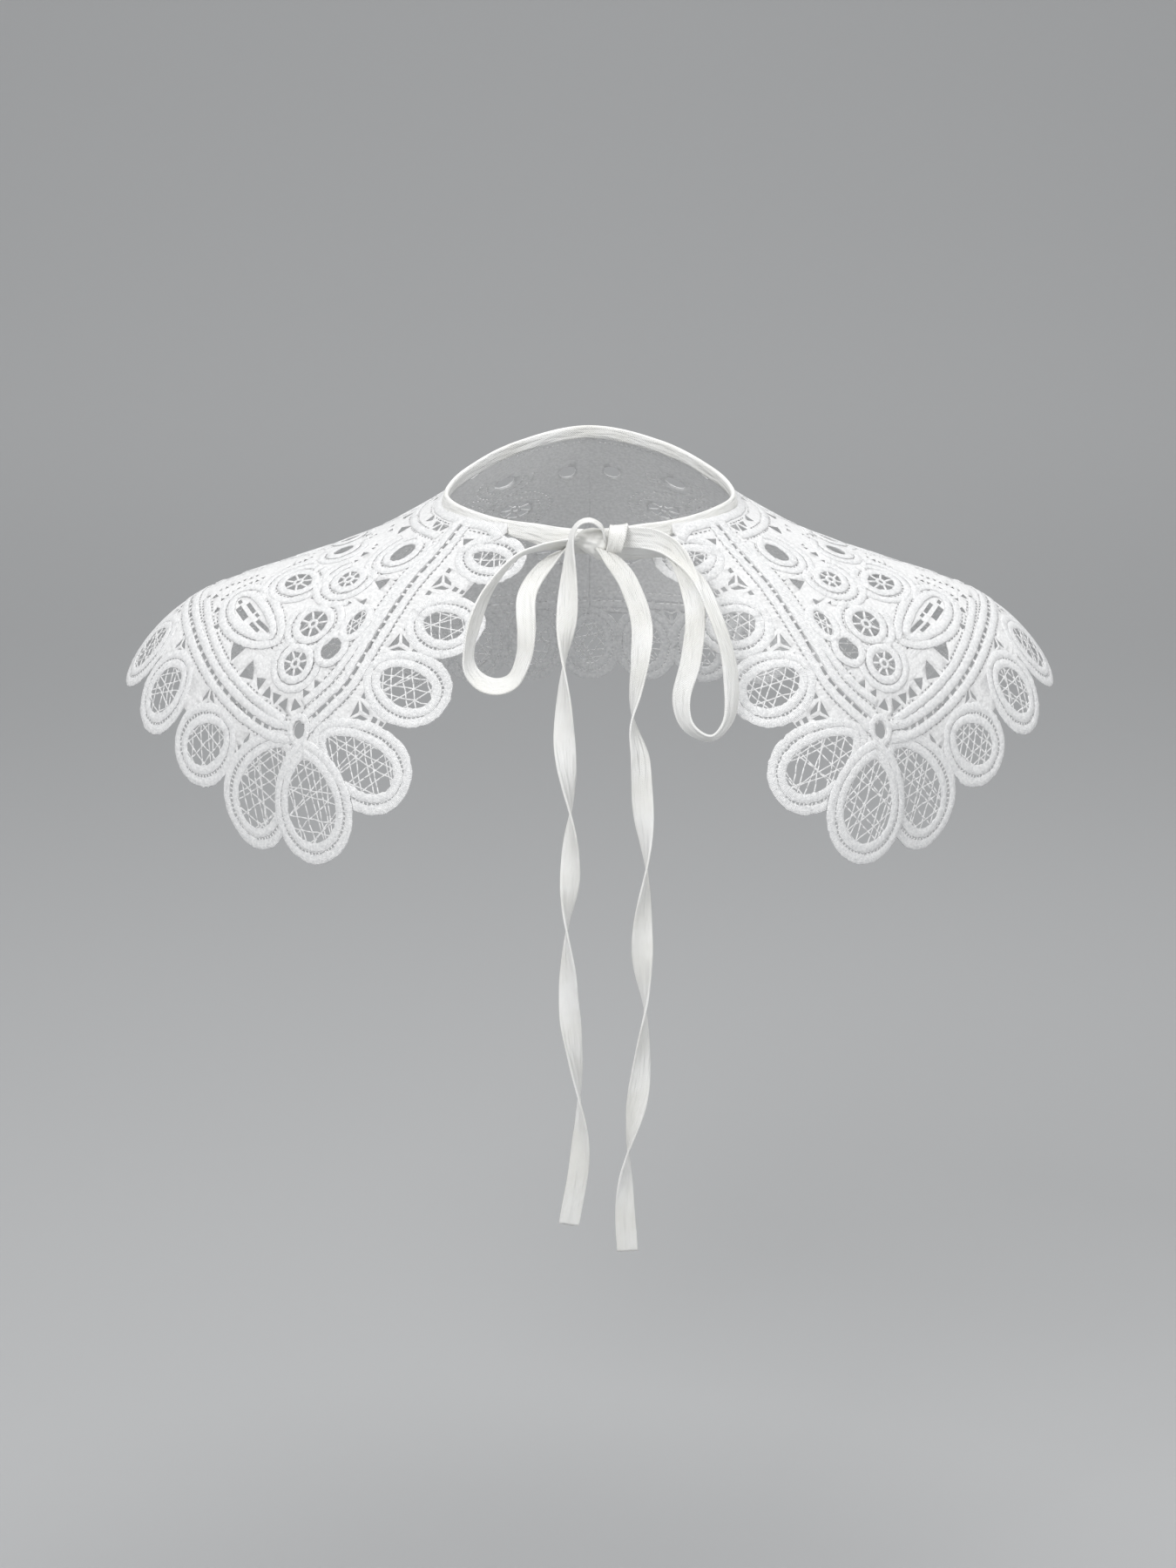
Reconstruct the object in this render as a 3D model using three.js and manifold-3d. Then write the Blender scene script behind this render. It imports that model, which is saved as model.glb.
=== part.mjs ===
// A wide openwork lace collar with a tape binding, closed at the front by a bow with two long ends.
// Millimetres, +Z up. The wearer faces -Y. The origin is the centre of the neck opening.
import * as THREE from "three";
import { mergeVertices } from "three/addons/utils/BufferGeometryUtils.js";
import Module from "manifold-3d";

const manifold = await Module();
manifold.setup();

// Neck loop
const neckHalfWidth = 73;
const neckHalfDepth = 61;
const neckFrontHeight = -18;
const neckRise = 26; // centre back above centre front

// Lace
const collarDepth = 200; // along the cloth, from the neck edge to the tips of the longest petals
const laceThickness = 1.6;
const tapeWidth = 5; // one satin tape
const bandSlitWidth = 2.2;
const eyeletRadius = 4.5;
const cellAlong = 30; // the lace bends at the borders of cells of this size, before it is draped
const cellOut = 28;
const cellMargin = 1; // the first cells begin this far outside the lace

// Binding
const bindingHeight = 6;
const bindingThickness = 2.4;
const bindingTilt = 14; // degrees that the binding leans in over the neck
const bindingFrontTurn = 176; // where each end runs into the knot
const bindingFlare = 8; // how far the ends come forward from the neck to meet the knot
const bindingFlareTurn = 156;

// Ties
const ribbonWidth = 9.5;
const ribbonThickness = 1.3;
const knotWidth = 24;
const knotHeight = 17;
const knotDepth = 12;
const knotOffset = 5; // the knot sits a little to the wearer's left of the middle
const leftLoopDrop = 66;
const rightLoopDrop = 86;
const leftTailDrop = 331;
const rightTailDrop = 345;
const loopSpread = 60;
const chestReach = 54; // how far the tails lie in front of the knot, over the chest

const seamGap = 0.3;
const laceToBinding = 0.4;

const laceMaterial = () => new THREE.MeshStandardMaterial({ color: 0xf1f3f4, roughness: 0.92, metalness: 0 });
const ribbonMaterial = () => new THREE.MeshStandardMaterial({ color: 0xf3f2ec, roughness: 0.8, metalness: 0 });

// How the cloth falls away from the neck, in one row for each direction. turn is measured from the centre back and
// heading is where the cloth runs out to, both in degrees. rise is a share of neckRise. The seven slopes are degrees
// below level, at equal steps of a fifth of collarDepth from the neck edge.
const drape = [
  { turn: 0, heading: 0, rise: 1.0, slopes: [36, 40, 48, 58, 70, 78, 82] },
  { turn: 30, heading: 28, rise: 0.75, slopes: [36, 38, 44, 54, 64, 76, 82] },
  { turn: 60, heading: 52, rise: 0.35, slopes: [34, 31, 34, 40, 52, 66, 78] },
  { turn: 90, heading: 79, rise: 0.08, slopes: [32, 22, 18, 19, 40, 62, 76] },
  { turn: 120, heading: 113, rise: 0.05, slopes: [40, 32, 38, 56, 76, 85, 88] },
  { turn: 150, heading: 149, rise: 0.02, slopes: [54, 48, 52, 62, 72, 80, 84] },
  { turn: 180, heading: 180, rise: 0.0, slopes: [60, 54, 56, 62, 70, 78, 82] },
];
const turnStep = 30;
const slopeStep = collarDepth / 5;

// The petals of the edge, each a closed loop of two satin tapes. turn and out place the base, lean turns the petal
// from straight out towards the front, and power moves its belly towards the tip. out, length and width are shares of
// collarDepth. A petal with over true lies on top of its neighbours.
const petals = [
  { name: "corner_arm", turn: 126, out: 0.705, lean: -23, length: 0.335, width: 0.23, power: 1.3 },
  { name: "corner_front", turn: 129, out: 0.665, lean: 79, length: 0.32, width: 0.21, power: 1.25 },
  { name: "corner_mid", turn: 128, out: 0.7, lean: 26, length: 0.29, width: 0.26, power: 1.35, over: true },
  { name: "front_1", turn: 133, out: 0.46, lean: 79, length: 0.255, width: 0.19, power: 1.05 },
  { name: "front_2", turn: 134, out: 0.29, lean: 81, length: 0.21, width: 0.175, power: 1.05 },
  { name: "front_3", turn: 133.5, out: 0.095, lean: 84, length: 0.19, width: 0.14, power: 1.05 },
  { name: "side_1", turn: 115, out: 0.78, lean: -42, length: 0.24, width: 0.185, power: 1.05 },
  { name: "side_2", turn: 104.2, out: 0.76, lean: -24, length: 0.235, width: 0.195, power: 1.05 },
  { name: "side_3", turn: 95.3, out: 0.765, lean: -16, length: 0.235, width: 0.185, power: 1.05 },
  { name: "side_4", turn: 85, out: 0.765, lean: 16, length: 0.235, width: 0.185, power: 1.05 },
  { name: "side_5", turn: 75, out: 0.76, lean: 24, length: 0.235, width: 0.19, power: 1.05 },
  { name: "side_6", turn: 65, out: 0.78, lean: 42, length: 0.24, width: 0.185, power: 1.05 },
  { name: "back_corner_side", turn: 54, out: 0.705, lean: 23, length: 0.32, width: 0.22, power: 1.3 },
  { name: "back_corner_back", turn: 51, out: 0.7, lean: -62, length: 0.3, width: 0.2, power: 1.25 },
  { name: "back_corner_mid", turn: 52.5, out: 0.72, lean: -18, length: 0.29, width: 0.25, power: 1.35, over: true },
  { name: "back_3", turn: 31, out: 0.76, lean: 0, length: 0.235, width: 0.185, power: 1.05 },
  { name: "back_2", turn: 20.7, out: 0.76, lean: 0, length: 0.235, width: 0.185, power: 1.05 },
  { name: "back_1", turn: 10.3, out: 0.76, lean: 0, length: 0.235, width: 0.185, power: 1.05 },
];
const backPetal = { turn: 0, out: 0.76, lean: 0, length: 0.235, width: 0.185, power: 1.05 };

// The tape bands between the neck and the corners, and along the foot of the petals. out is a share of collarDepth.
const frontBand = [
  { turn: 126, out: 0.02 },
  { turn: 128.2, out: 0.21 },
  { turn: 130.2, out: 0.345 },
  { turn: 131.2, out: 0.46 },
  { turn: 130.8, out: 0.545 },
  { turn: 127.5, out: 0.67 },
];
const sideBand = [
  { turn: 126, out: 0.7 },
  { turn: 121, out: 0.722 },
  { turn: 113, out: 0.727 },
  { turn: 101, out: 0.718 },
  { turn: 90, out: 0.725 },
  { turn: 79, out: 0.718 },
  { turn: 67, out: 0.727 },
  { turn: 59, out: 0.722 },
  { turn: 54, out: 0.7 },
];
const backSeamBand = [
  { turn: 54, out: 0.02 },
  { turn: 51.8, out: 0.21 },
  { turn: 49.8, out: 0.345 },
  { turn: 49.8, out: 0.5 },
  { turn: 52.5, out: 0.67 },
];
const backBand = [
  { turn: 54, out: 0.7 },
  { turn: 47, out: 0.725 },
  { turn: 30, out: 0.735 },
  { turn: 12, out: 0.735 },
  { turn: -12, out: 0.735 },
  { turn: -30, out: 0.735 },
  { turn: -47, out: 0.725 },
  { turn: -54, out: 0.7 },
];

// The holes between the scrolls of the front half of a shoulder. across and tall are half sizes along and away from
// the neck edge, as shares of collarDepth, and lean turns the hole.
const scrollHoles = [
  { turn: 120, out: 0.56, across: 0.036, tall: 0.032, lean: 0, sides: 8 }, // small rosette by the corner
  { turn: 116.5, out: 0.45, across: 0.042, tall: 0.036, lean: 0, sides: 8 }, // large rosette
  { turn: 124.3, out: 0.39, across: 0.017, tall: 0.045, lean: 0, sides: 6 }, // slit scroll
  { turn: 125, out: 0.475, across: 0.022, tall: 0.026, lean: 0, sides: 8 }, // clear eye
  { turn: 112, out: 0.31, across: 0.03, tall: 0.026, lean: 0, sides: 8 }, // rosette below the neck
  { turn: 103, out: 0.415, across: 0.046, tall: 0.028, lean: 25, sides: 8 }, // wide rosette on the shoulder
  { turn: 116, out: 0.17, across: 0.026, tall: 0.034, lean: 0, sides: 7 }, // clear teardrop
  { turn: 101, out: 0.565, across: 0.02, tall: 0.045, lean: -62, sides: 6 }, // rungs of the long drop
  { turn: 93.5, out: 0.6, across: 0.022, tall: 0.06, lean: 0, sides: 5 }, // net on the ridge
  { turn: 96.5, out: 0.27, across: 0.03, tall: 0.05, lean: 0, sides: 6 },
];
const backHoles = [
  { turn: 38, out: 0.56, across: 0.06, tall: 0.045, lean: 0, sides: 8 },
  { turn: 31, out: 0.36, across: 0.045, tall: 0.04, lean: 0, sides: 8 },
  { turn: 20, out: 0.56, across: 0.06, tall: 0.045, lean: 0, sides: 8 },
  { turn: 11, out: 0.36, across: 0.045, tall: 0.04, lean: 0, sides: 8 },
];

// Slits in the bands, as runs along their length.
const frontBandSlits = [
  { from: 0.2, to: 0.52 },
  { from: 0.6, to: 0.92 },
];
const sideBandSlits = [
  { from: 0.14, to: 0.44 },
  { from: 0.56, to: 0.86 },
];

// The route of each tie from the middle of the knot. down is a share of its drop, side of loopSpread and front of
// chestReach. face turns the ribbon about its length, 0 with the broad side to the front, and tip tilts its width
// upwards, both in degrees. Each route begins inside the knot, which then trims it.
const leftLoopRoute = [
  { down: -0.04, side: 0.0, front: 0.04, face: 90, tip: 84 },
  { down: -0.035, side: -0.2, front: 0.045, face: 90, tip: 80 },
  { down: 0.0, side: -0.4, front: 0.07, face: 92, tip: 50 },
  { down: 0.08, side: -0.6, front: 0.16, face: 98, tip: 22 },
  { down: 0.29, side: -0.82, front: 0.37, face: 120, tip: 4 },
  { down: 0.56, side: -0.93, front: 0.56, face: 142, tip: 0 },
  { down: 0.79, side: -0.95, front: 0.65, face: 132, tip: -14 },
  { down: 0.91, side: -0.9, front: 0.7, face: 106, tip: -40 },
  { down: 0.94, side: -0.75, front: 0.74, face: 90, tip: -50 },
  { down: 0.88, side: -0.6, front: 0.74, face: 70, tip: -30 },
  { down: 0.73, side: -0.52, front: 0.7, face: 40, tip: -8 },
  { down: 0.56, side: -0.51, front: 0.63, face: 32, tip: 0 },
  { down: 0.33, side: -0.52, front: 0.42, face: 34, tip: 0 },
  { down: 0.17, side: -0.42, front: 0.2, face: 40, tip: 10 },
  { down: 0.09, side: -0.22, front: -0.01, face: 50, tip: 50 },
  { down: 0.08, side: -0.02, front: -0.05, face: 60, tip: 64 },
];
const rightLoopRoute = [
  { down: -0.03, side: 0.16, front: 0.04, face: 0, tip: 84 },
  { down: -0.03, side: 0.34, front: 0.045, face: 0, tip: 80 },
  { down: -0.01, side: 0.55, front: 0.07, face: 6, tip: 60 },
  { down: 0.08, side: 0.72, front: 0.19, face: 12, tip: 34 },
  { down: 0.31, side: 0.83, front: 0.48, face: 12, tip: 8 },
  { down: 0.57, side: 0.8, front: 0.67, face: 14, tip: 0 },
  { down: 0.78, side: 0.72, front: 0.78, face: 28, tip: 8 },
  { down: 0.93, side: 0.77, front: 0.85, face: 58, tip: 26 },
  { down: 1.0, side: 0.95, front: 0.87, face: 86, tip: 36 },
  { down: 0.92, side: 1.09, front: 0.81, face: 120, tip: 20 },
  { down: 0.78, side: 1.13, front: 0.76, face: 138, tip: 4 },
  { down: 0.57, side: 1.1, front: 0.67, face: 132, tip: 0 },
  { down: 0.36, side: 1.0, front: 0.54, face: 126, tip: 0 },
  { down: 0.16, side: 0.84, front: 0.28, face: 120, tip: 0 },
  { down: 0.07, side: 0.6, front: 0.06, face: 110, tip: 20 },
  { down: 0.07, side: 0.32, front: -0.04, face: 100, tip: 56 },
  { down: 0.07, side: 0.18, front: -0.05, face: 96, tip: 64 },
];
const leftTailRoute = [
  { down: -0.006, side: 0.02, front: 0.06, face: 110, tip: 30 },
  { down: -0.004, side: -0.07, front: 0.15, face: 96, tip: 16 },
  { down: 0.03, side: -0.14, front: 0.27, face: 50, tip: 0 },
  { down: 0.09, side: -0.18, front: 0.42, face: 8, tip: 0 },
  { down: 0.15, side: -0.2, front: 0.56, face: -80, tip: 0 },
  { down: 0.27, side: -0.2, front: 0.77, face: -176, tip: 0 },
  { down: 0.37, side: -0.15, front: 0.87, face: -270, tip: 0 },
  { down: 0.455, side: -0.155, front: 0.92, face: -356, tip: 0 },
  { down: 0.54, side: -0.18, front: 0.965, face: -450, tip: 0 },
  { down: 0.67, side: -0.16, front: 1.0, face: -540, tip: 0 },
  { down: 0.8, side: -0.08, front: 1.0, face: -630, tip: 0 },
  { down: 0.9, side: -0.085, front: 1.0, face: -710, tip: 0 },
  { down: 1.0, side: -0.17, front: 1.0, face: -722, tip: 0 },
];
const rightTailRoute = [
  { down: 0.008, side: 0.13, front: 0.05, face: -60, tip: -20 },
  { down: 0.02, side: 0.19, front: 0.16, face: -40, tip: -14 },
  { down: 0.05, side: 0.32, front: 0.26, face: -30, tip: -8 },
  { down: 0.1, side: 0.41, front: 0.41, face: 0, tip: 0 },
  { down: 0.15, side: 0.4, front: 0.56, face: 25, tip: 0 },
  { down: 0.226, side: 0.34, front: 0.68, face: 90, tip: 0 },
  { down: 0.28, side: 0.4, front: 0.78, face: 150, tip: 0 },
  { down: 0.34, side: 0.42, front: 0.84, face: 184, tip: 0 },
  { down: 0.43, side: 0.45, front: 0.93, face: 270, tip: 0 },
  { down: 0.53, side: 0.42, front: 0.975, face: 350, tip: 0 },
  { down: 0.635, side: 0.44, front: 0.99, face: 450, tip: 0 },
  { down: 0.75, side: 0.4, front: 1.0, face: 540, tip: 0 },
  { down: 0.845, side: 0.31, front: 1.0, face: 630, tip: 0 },
  { down: 0.93, side: 0.29, front: 1.0, face: 706, tip: 0 },
  { down: 1.0, side: 0.31, front: 1.0, face: 720, tip: 0 },
];

const radians = THREE.MathUtils.degToRad;
const clamp = THREE.MathUtils.clamp;
const mix = THREE.MathUtils.lerp;

// Value at t between b and c of the smooth curve through a, b, c and d.
function blend(a, b, c, d, t) {
  const linear = c - a;
  const square = 2 * a - 5 * b + 4 * c - d;
  const cube = 3 * b - a - 3 * c + d;
  return 0.5 * (2 * b + linear * t + square * t * t + cube * t ** 3);
}

// The drape table at any turn from 0 to 180 degrees.
function drapeAt(turn) {
  const index = clamp(Math.floor(turn / turnStep), 0, drape.length - 2);
  const t = turn / turnStep - index;
  const last = drape.length - 1;
  const before = drape[Math.abs(index - 1)];
  const after = drape[index + 2 > last ? 2 * last - index - 2 : index + 2];
  const beforeHeading = index === 0 ? -before.heading : before.heading;
  const afterHeading = index + 2 > last ? 360 - after.heading : after.heading;
  const here = drape[index];
  const next = drape[index + 1];
  return {
    rise: blend(before.rise, here.rise, next.rise, after.rise, t),
    heading: blend(beforeHeading, here.heading, next.heading, afterHeading, t),
    slopes: here.slopes.map((slope, k) => blend(before.slopes[k], slope, next.slopes[k], after.slopes[k], t)),
  };
}

const walkStep = 2; // mm along the cloth between the points of a profile
const walkCount = Math.ceil((1.3 * collarDepth) / walkStep);

// Reach and drop of the cloth along one direction, at each step out from the neck edge.
function walkProfile(turn) {
  const row = drapeAt(turn);
  const slopeAt = (out) => {
    const place = clamp(out / slopeStep, 0, row.slopes.length - 1.001);
    const index = Math.floor(place);
    return radians(mix(row.slopes[index], row.slopes[index + 1], place - index));
  };
  const profile = { ...row, reach: [0], drop: [0] };
  for (let k = 1; k <= walkCount; k += 1) {
    const slope = slopeAt((k - 0.5) * walkStep);
    profile.reach.push(profile.reach[k - 1] + walkStep * Math.cos(slope));
    profile.drop.push(profile.drop[k - 1] + walkStep * Math.sin(slope));
  }
  return profile;
}
const profiles = Array.from({ length: 181 }, (_, turn) => walkProfile(turn));

function readProfile(turn, out, key) {
  const low = clamp(Math.floor(turn), 0, 179);
  const place = clamp(out / walkStep, 0, walkCount - 0.001);
  const index = Math.floor(place);
  const at = (profile) => mix(profile[key][index], profile[key][index + 1], place - index);
  return mix(at(profiles[low]), at(profiles[low + 1]), turn - low);
}

function readRow(turn, key) {
  const low = clamp(Math.floor(turn), 0, 179);
  return mix(profiles[low][key], profiles[low + 1][key], turn - low);
}

// A point of the neck loop. A turn below zero is the wearer's other side.
function neckPoint(turn) {
  const angle = radians(turn);
  const height = neckFrontHeight + neckRise * readRow(Math.abs(turn), "rise");
  return new THREE.Vector3(neckHalfWidth * Math.sin(angle), neckHalfDepth * Math.cos(angle), height);
}

// A point of the draped cloth, out millimetres from the neck edge.
function clothPoint(turn, out) {
  const heading = radians(Math.sign(turn) * readRow(Math.abs(turn), "heading"));
  const reach = readProfile(Math.abs(turn), out, "reach");
  const point = neckPoint(turn);
  point.x += reach * Math.sin(heading);
  point.y += reach * Math.cos(heading);
  point.z -= readProfile(Math.abs(turn), out, "drop");
  return point;
}

function clothNormal(turn, out) {
  const along = clothPoint(turn + 0.5, out).sub(clothPoint(turn - 0.5, out));
  const away = clothPoint(turn, out + 1).sub(clothPoint(turn, Math.max(out - 1, 0)));
  return away.cross(along).normalize().negate();
}

// Millimetres of cloth in one degree of turn.
function clothPerDegree(turn, out) {
  return clothPoint(turn + 0.5, out).distanceTo(clothPoint(turn - 0.5, out));
}

// Turns points given in millimetres about a place, sideways towards the front and outwards, into turn and out.
function layAround(place, points) {
  const lean = radians(place.lean);
  const baseOut = place.out * collarDepth;
  return points.map(([side, away]) => {
    const sideways = side * Math.cos(lean) + away * Math.sin(lean);
    const out = baseOut + away * Math.cos(lean) - side * Math.sin(lean);
    return new THREE.Vector2(place.turn + sideways / clothPerDegree(place.turn, Math.max(out, 0)), out);
  });
}

// A petal's closed outline, drawn in from its edge by inset millimetres.
function petalOutline(petal, inset, count) {
  const start = 0.85 * inset;
  const length = petal.length * collarDepth - start - inset;
  const half = (petal.width * collarDepth) / 2 - inset;
  const points = [];
  for (let k = 0; k < count; k += 1) {
    const angle = (2 * Math.PI * k) / count;
    const share = ((1 - Math.cos(angle)) / 2) ** (1 / petal.power);
    points.push([half * Math.sin(angle), start + length * share]);
  }
  return layAround(petal, points);
}

// An oval or angular hole.
function holeOutline(hole) {
  const points = [];
  for (let k = 0; k < hole.sides; k += 1) {
    const angle = (2 * Math.PI * k) / hole.sides;
    points.push([hole.across * collarDepth * Math.sin(angle), hole.tall * collarDepth * Math.cos(angle)]);
  }
  return layAround(hole, points);
}

// A smooth path through the rows of a band, in turn and millimetres out.
function bandPath(rows) {
  const points = rows.map((row) => new THREE.Vector3(row.turn, row.out * collarDepth, 0));
  return new THREE.CatmullRomCurve3(points);
}

// A strip of cloth of the given width along part of a band, as a closed outline.
function stripOutline(rows, width, from, to, count) {
  const path = bandPath(rows);
  const near = [];
  const far = [];
  for (let k = 0; k <= count; k += 1) {
    const share = mix(from, to, k / count);
    const here = path.getPointAt(share);
    const scale = clothPerDegree(here.x, here.y);
    const run = path.getTangentAt(share);
    const across = new THREE.Vector2(-run.y, run.x * scale).normalize().multiplyScalar(width / 2);
    near.push(new THREE.Vector2(here.x + across.x / scale, here.y + across.y));
    far.unshift(new THREE.Vector2(here.x - across.x / scale, here.y - across.y));
  }
  return [...near, ...far];
}

const stripScale = 0.013 * collarDepth; // mm of the unrolled strip for one degree of turn

const mirrored = (outline) => outline.map((point) => new THREE.Vector2(-point.x, point.y));

function toSolid(geometry) {
  const bare = geometry.clone();
  bare.deleteAttribute("normal");
  bare.deleteAttribute("uv");
  const merged = mergeVertices(bare, 1e-4);
  const mesh = new manifold.Mesh({
    numProp: 3,
    vertProperties: new Float32Array(merged.attributes.position.array),
    triVerts: new Uint32Array(merged.index.array),
  });
  return new manifold.Manifold(mesh);
}

// A flat plate of the unrolled strip, from low to high across its thickness.
function plate(outline, low, high) {
  const shape = new THREE.Shape(outline.map((point) => new THREE.Vector2(point.x * stripScale, point.y)));
  const geometry = new THREE.ExtrudeGeometry(shape, { depth: high - low, bevelEnabled: false });
  geometry.translate(0, 0, low);
  return toSolid(geometry);
}

const half = laceThickness / 2;
const solidPlate = (outline) => plate(outline, -half, half);
const cutterPlate = (outline) => plate(outline, -laceThickness, laceThickness);
const joinAll = (solids) => manifold.Manifold.union(solids);

// Both sides of the collar are alike, so each outline is laid twice.
const bothSides = (outlines) => [...outlines, ...outlines.map(mirrored)];

// The ground of the collar between the neck edge and the bands.
function groundOutline() {
  const neckEdge = bindingThickness / 2 + laceToBinding;
  const frontEnd = 154;
  const rim = tapeWidth * 1.7;
  const outline = [];
  for (let turn = -frontEnd; turn <= frontEnd; turn += 7) {
    outline.push(new THREE.Vector2(turn, neckEdge));
  }
  const outward = [
    { turn: 154, out: neckEdge + rim * 0.5 },
    { turn: 150, out: neckEdge + rim * 1.1 },
    { turn: 136, out: neckEdge + rim * 1.4 },
    ...frontBand.slice(1).map((row) => ({ turn: row.turn + 3.2, out: row.out * collarDepth })),
  ];
  const edge = sideBand.slice(1, -1).map((row) => ({ turn: row.turn, out: row.out * collarDepth + rim }));
  const back = backBand.slice(0, 4).map((row) => ({ turn: row.turn, out: row.out * collarDepth + rim }));
  const rightSide = [...outward, ...edge, ...back, { ...back.at(-1), turn: 0 }];
  const right = rightSide.map((row) => new THREE.Vector2(row.turn, row.out));
  const left = mirrored(right.slice(0, -1));
  return [...outline, ...right, ...left.reverse()];
}

function buildLace() {
  const rim = 2 * tapeWidth;
  const outlineOf = (petal) => petalOutline(petal, 0, 16);
  const openingOf = (petal) => petalOutline(petal, rim, 10);
  const under = petals.filter((petal) => !petal.over);
  const over = petals.filter((petal) => petal.over);

  const ground = [solidPlate(groundOutline()), solidPlate(outlineOf(backPetal))];
  bothSides(under.map(outlineOf)).forEach((outline) => ground.push(solidPlate(outline)));
  const openings = [cutterPlate(openingOf(backPetal))];
  bothSides(under.map(openingOf)).forEach((outline) => openings.push(cutterPlate(outline)));
  const tops = bothSides(over.map(outlineOf)).map(solidPlate);
  const topOpenings = bothSides(over.map(openingOf)).map(cutterPlate);
  let lace = joinAll(ground).subtract(joinAll(openings));
  lace = lace.add(joinAll(tops)).subtract(joinAll(topOpenings));

  const backHalf = scrollHoles.map((hole) => ({ ...hole, turn: 180 - hole.turn, lean: -hole.lean }));
  const holes = [...scrollHoles, ...backHalf, ...backHoles].map(holeOutline);
  [126.5, 53.5].forEach((turn) => {
    const eyelet = eyeletRadius / collarDepth;
    holes.push(holeOutline({ turn, out: 0.685, across: eyelet, tall: eyelet, lean: 0, sides: 8 }));
  });
  const slit = (rows, run) => stripOutline(rows, bandSlitWidth, run.from, run.to, 3);
  frontBandSlits.forEach((run) => holes.push(slit(frontBand, run), slit(backSeamBand, run)));
  sideBandSlits.forEach((run) => holes.push(slit(sideBand, run)));
  return lace.subtract(joinAll(bothSides(holes).map(cutterPlate)));
}

// The faces of a flat solid inside one cell, without the walls that the cell's own borders leave.
function cellFaces(solid, left, near) {
  const right = left + cellAlong;
  const far = near + cellOut;
  const box = new THREE.BoxGeometry(cellAlong, cellOut, 4 * laceThickness);
  box.translate((left + right) / 2, (near + far) / 2, 0);
  const mesh = solid.intersect(toSolid(box)).getMesh();
  const corner = (k) => mesh.vertProperties.subarray(3 * k, 3 * k + 3);
  const allAt = (corners, axis, value) => corners.every((point) => Math.abs(point[axis] - value) < 1e-4);
  const faces = [];
  for (let k = 0; k < mesh.triVerts.length; k += 3) {
    const corners = [0, 1, 2].map((step) => corner(mesh.triVerts[k + step]));
    const onSide = allAt(corners, 0, left) || allAt(corners, 0, right);
    const onEnd = allAt(corners, 1, near) || allAt(corners, 1, far);
    if (!onSide && !onEnd) {
      corners.forEach((point) => faces.push(...point));
    }
  }
  return faces;
}

// Cells side by side can differ in the points along their shared border. This gives an edge the points that only its
// neighbour has, by splitting its face there.
function matchBorders(geometry) {
  const position = geometry.attributes.position;
  const point = (k) => new THREE.Vector3().fromBufferAttribute(position, k);
  const faces = [];
  for (let k = 0; k < geometry.index.count; k += 3) {
    faces.push([0, 1, 2].map((step) => geometry.index.getX(k + step)));
  }
  const edgesOf = (face) => face.map((start, k) => [start, face[(k + 1) % 3]]);
  const known = new Set(faces.flatMap((face) => edgesOf(face).map(([start, end]) => `${start} ${end}`)));
  const isOpen = ([start, end]) => !known.has(`${end} ${start}`);
  const loose = [...new Set(faces.flatMap((face) => edgesOf(face).filter(isOpen).flat()))];
  const between = ([start, end]) => {
    const edge = new THREE.Line3(point(start), point(end));
    const share = (k) => edge.closestPointToPointParameter(point(k), false);
    const near = (k) => edge.at(share(k), new THREE.Vector3()).distanceTo(point(k)) < 2e-3;
    const inside = loose.filter((k) => k !== start && k !== end && share(k) > 0 && share(k) < 1 && near(k));
    return inside.sort((one, two) => share(one) - share(two));
  };
  const split = (face) => {
    for (const [start, end] of edgesOf(face).filter(isOpen)) {
      const stops = between([start, end]);
      if (stops.length > 0) {
        const apex = face.find((corner) => corner !== start && corner !== end);
        const run = [start, ...stops, end];
        return run.slice(1).flatMap((stop, k) => split([run[k], stop, apex]));
      }
    }
    return [face];
  };
  geometry.setIndex(faces.flatMap(split).flat());
}

// Bends the flat lace over the shoulders, its thickness standing square to the cloth.
function drapeLace(solid) {
  const bounds = solid.boundingBox();
  const faces = [];
  for (let left = bounds.min[0] - cellMargin; left < bounds.max[0]; left += cellAlong) {
    for (let near = bounds.min[1] - cellMargin; near < bounds.max[1]; near += cellOut) {
      faces.push(cellFaces(solid, left, near));
    }
  }
  const flat = new THREE.BufferGeometry();
  flat.setAttribute("position", new THREE.Float32BufferAttribute(faces.flat(), 3));
  const lace = mergeVertices(flat, 1e-3);
  matchBorders(lace);
  const position = lace.attributes.position;
  for (let k = 0; k < position.count; k += 1) {
    const turn = position.getX(k) / stripScale;
    const out = position.getY(k);
    const point = clothPoint(turn, out).addScaledVector(clothNormal(turn, out), position.getZ(k));
    position.setXYZ(k, point.x, point.y, point.z);
  }
  return lace;
}

// A closed strip swept through rings of four corners each.
function stripGeometry(rings) {
  const vertices = rings.flat().flatMap((corner) => corner.toArray());
  const faces = [];
  const quad = (a, b, c, d) => faces.push(a, b, c, a, c, d);
  for (let k = 0; k + 1 < rings.length; k += 1) {
    for (let side = 0; side < 4; side += 1) {
      const next = (side + 1) % 4;
      const corners = [4 * k + side, 4 * k + next, 4 * k + 4 + next, 4 * k + 4 + side];
      // Opposite faces are split along the same diagonal, so a twisted strip keeps its thickness.
      const turned = side < 2 ? corners : [...corners.slice(1), corners[0]];
      quad(...turned);
    }
  }
  const end = 4 * (rings.length - 1);
  quad(3, 2, 1, 0);
  quad(end, end + 1, end + 2, end + 3);
  const geometry = new THREE.BufferGeometry();
  geometry.setAttribute("position", new THREE.Float32BufferAttribute(vertices, 3));
  geometry.setIndex(faces);
  return geometry;
}

const knotCentre = new THREE.Vector3(knotOffset, -neckHalfDepth - knotDepth - 1, neckFrontHeight - 4);

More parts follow.
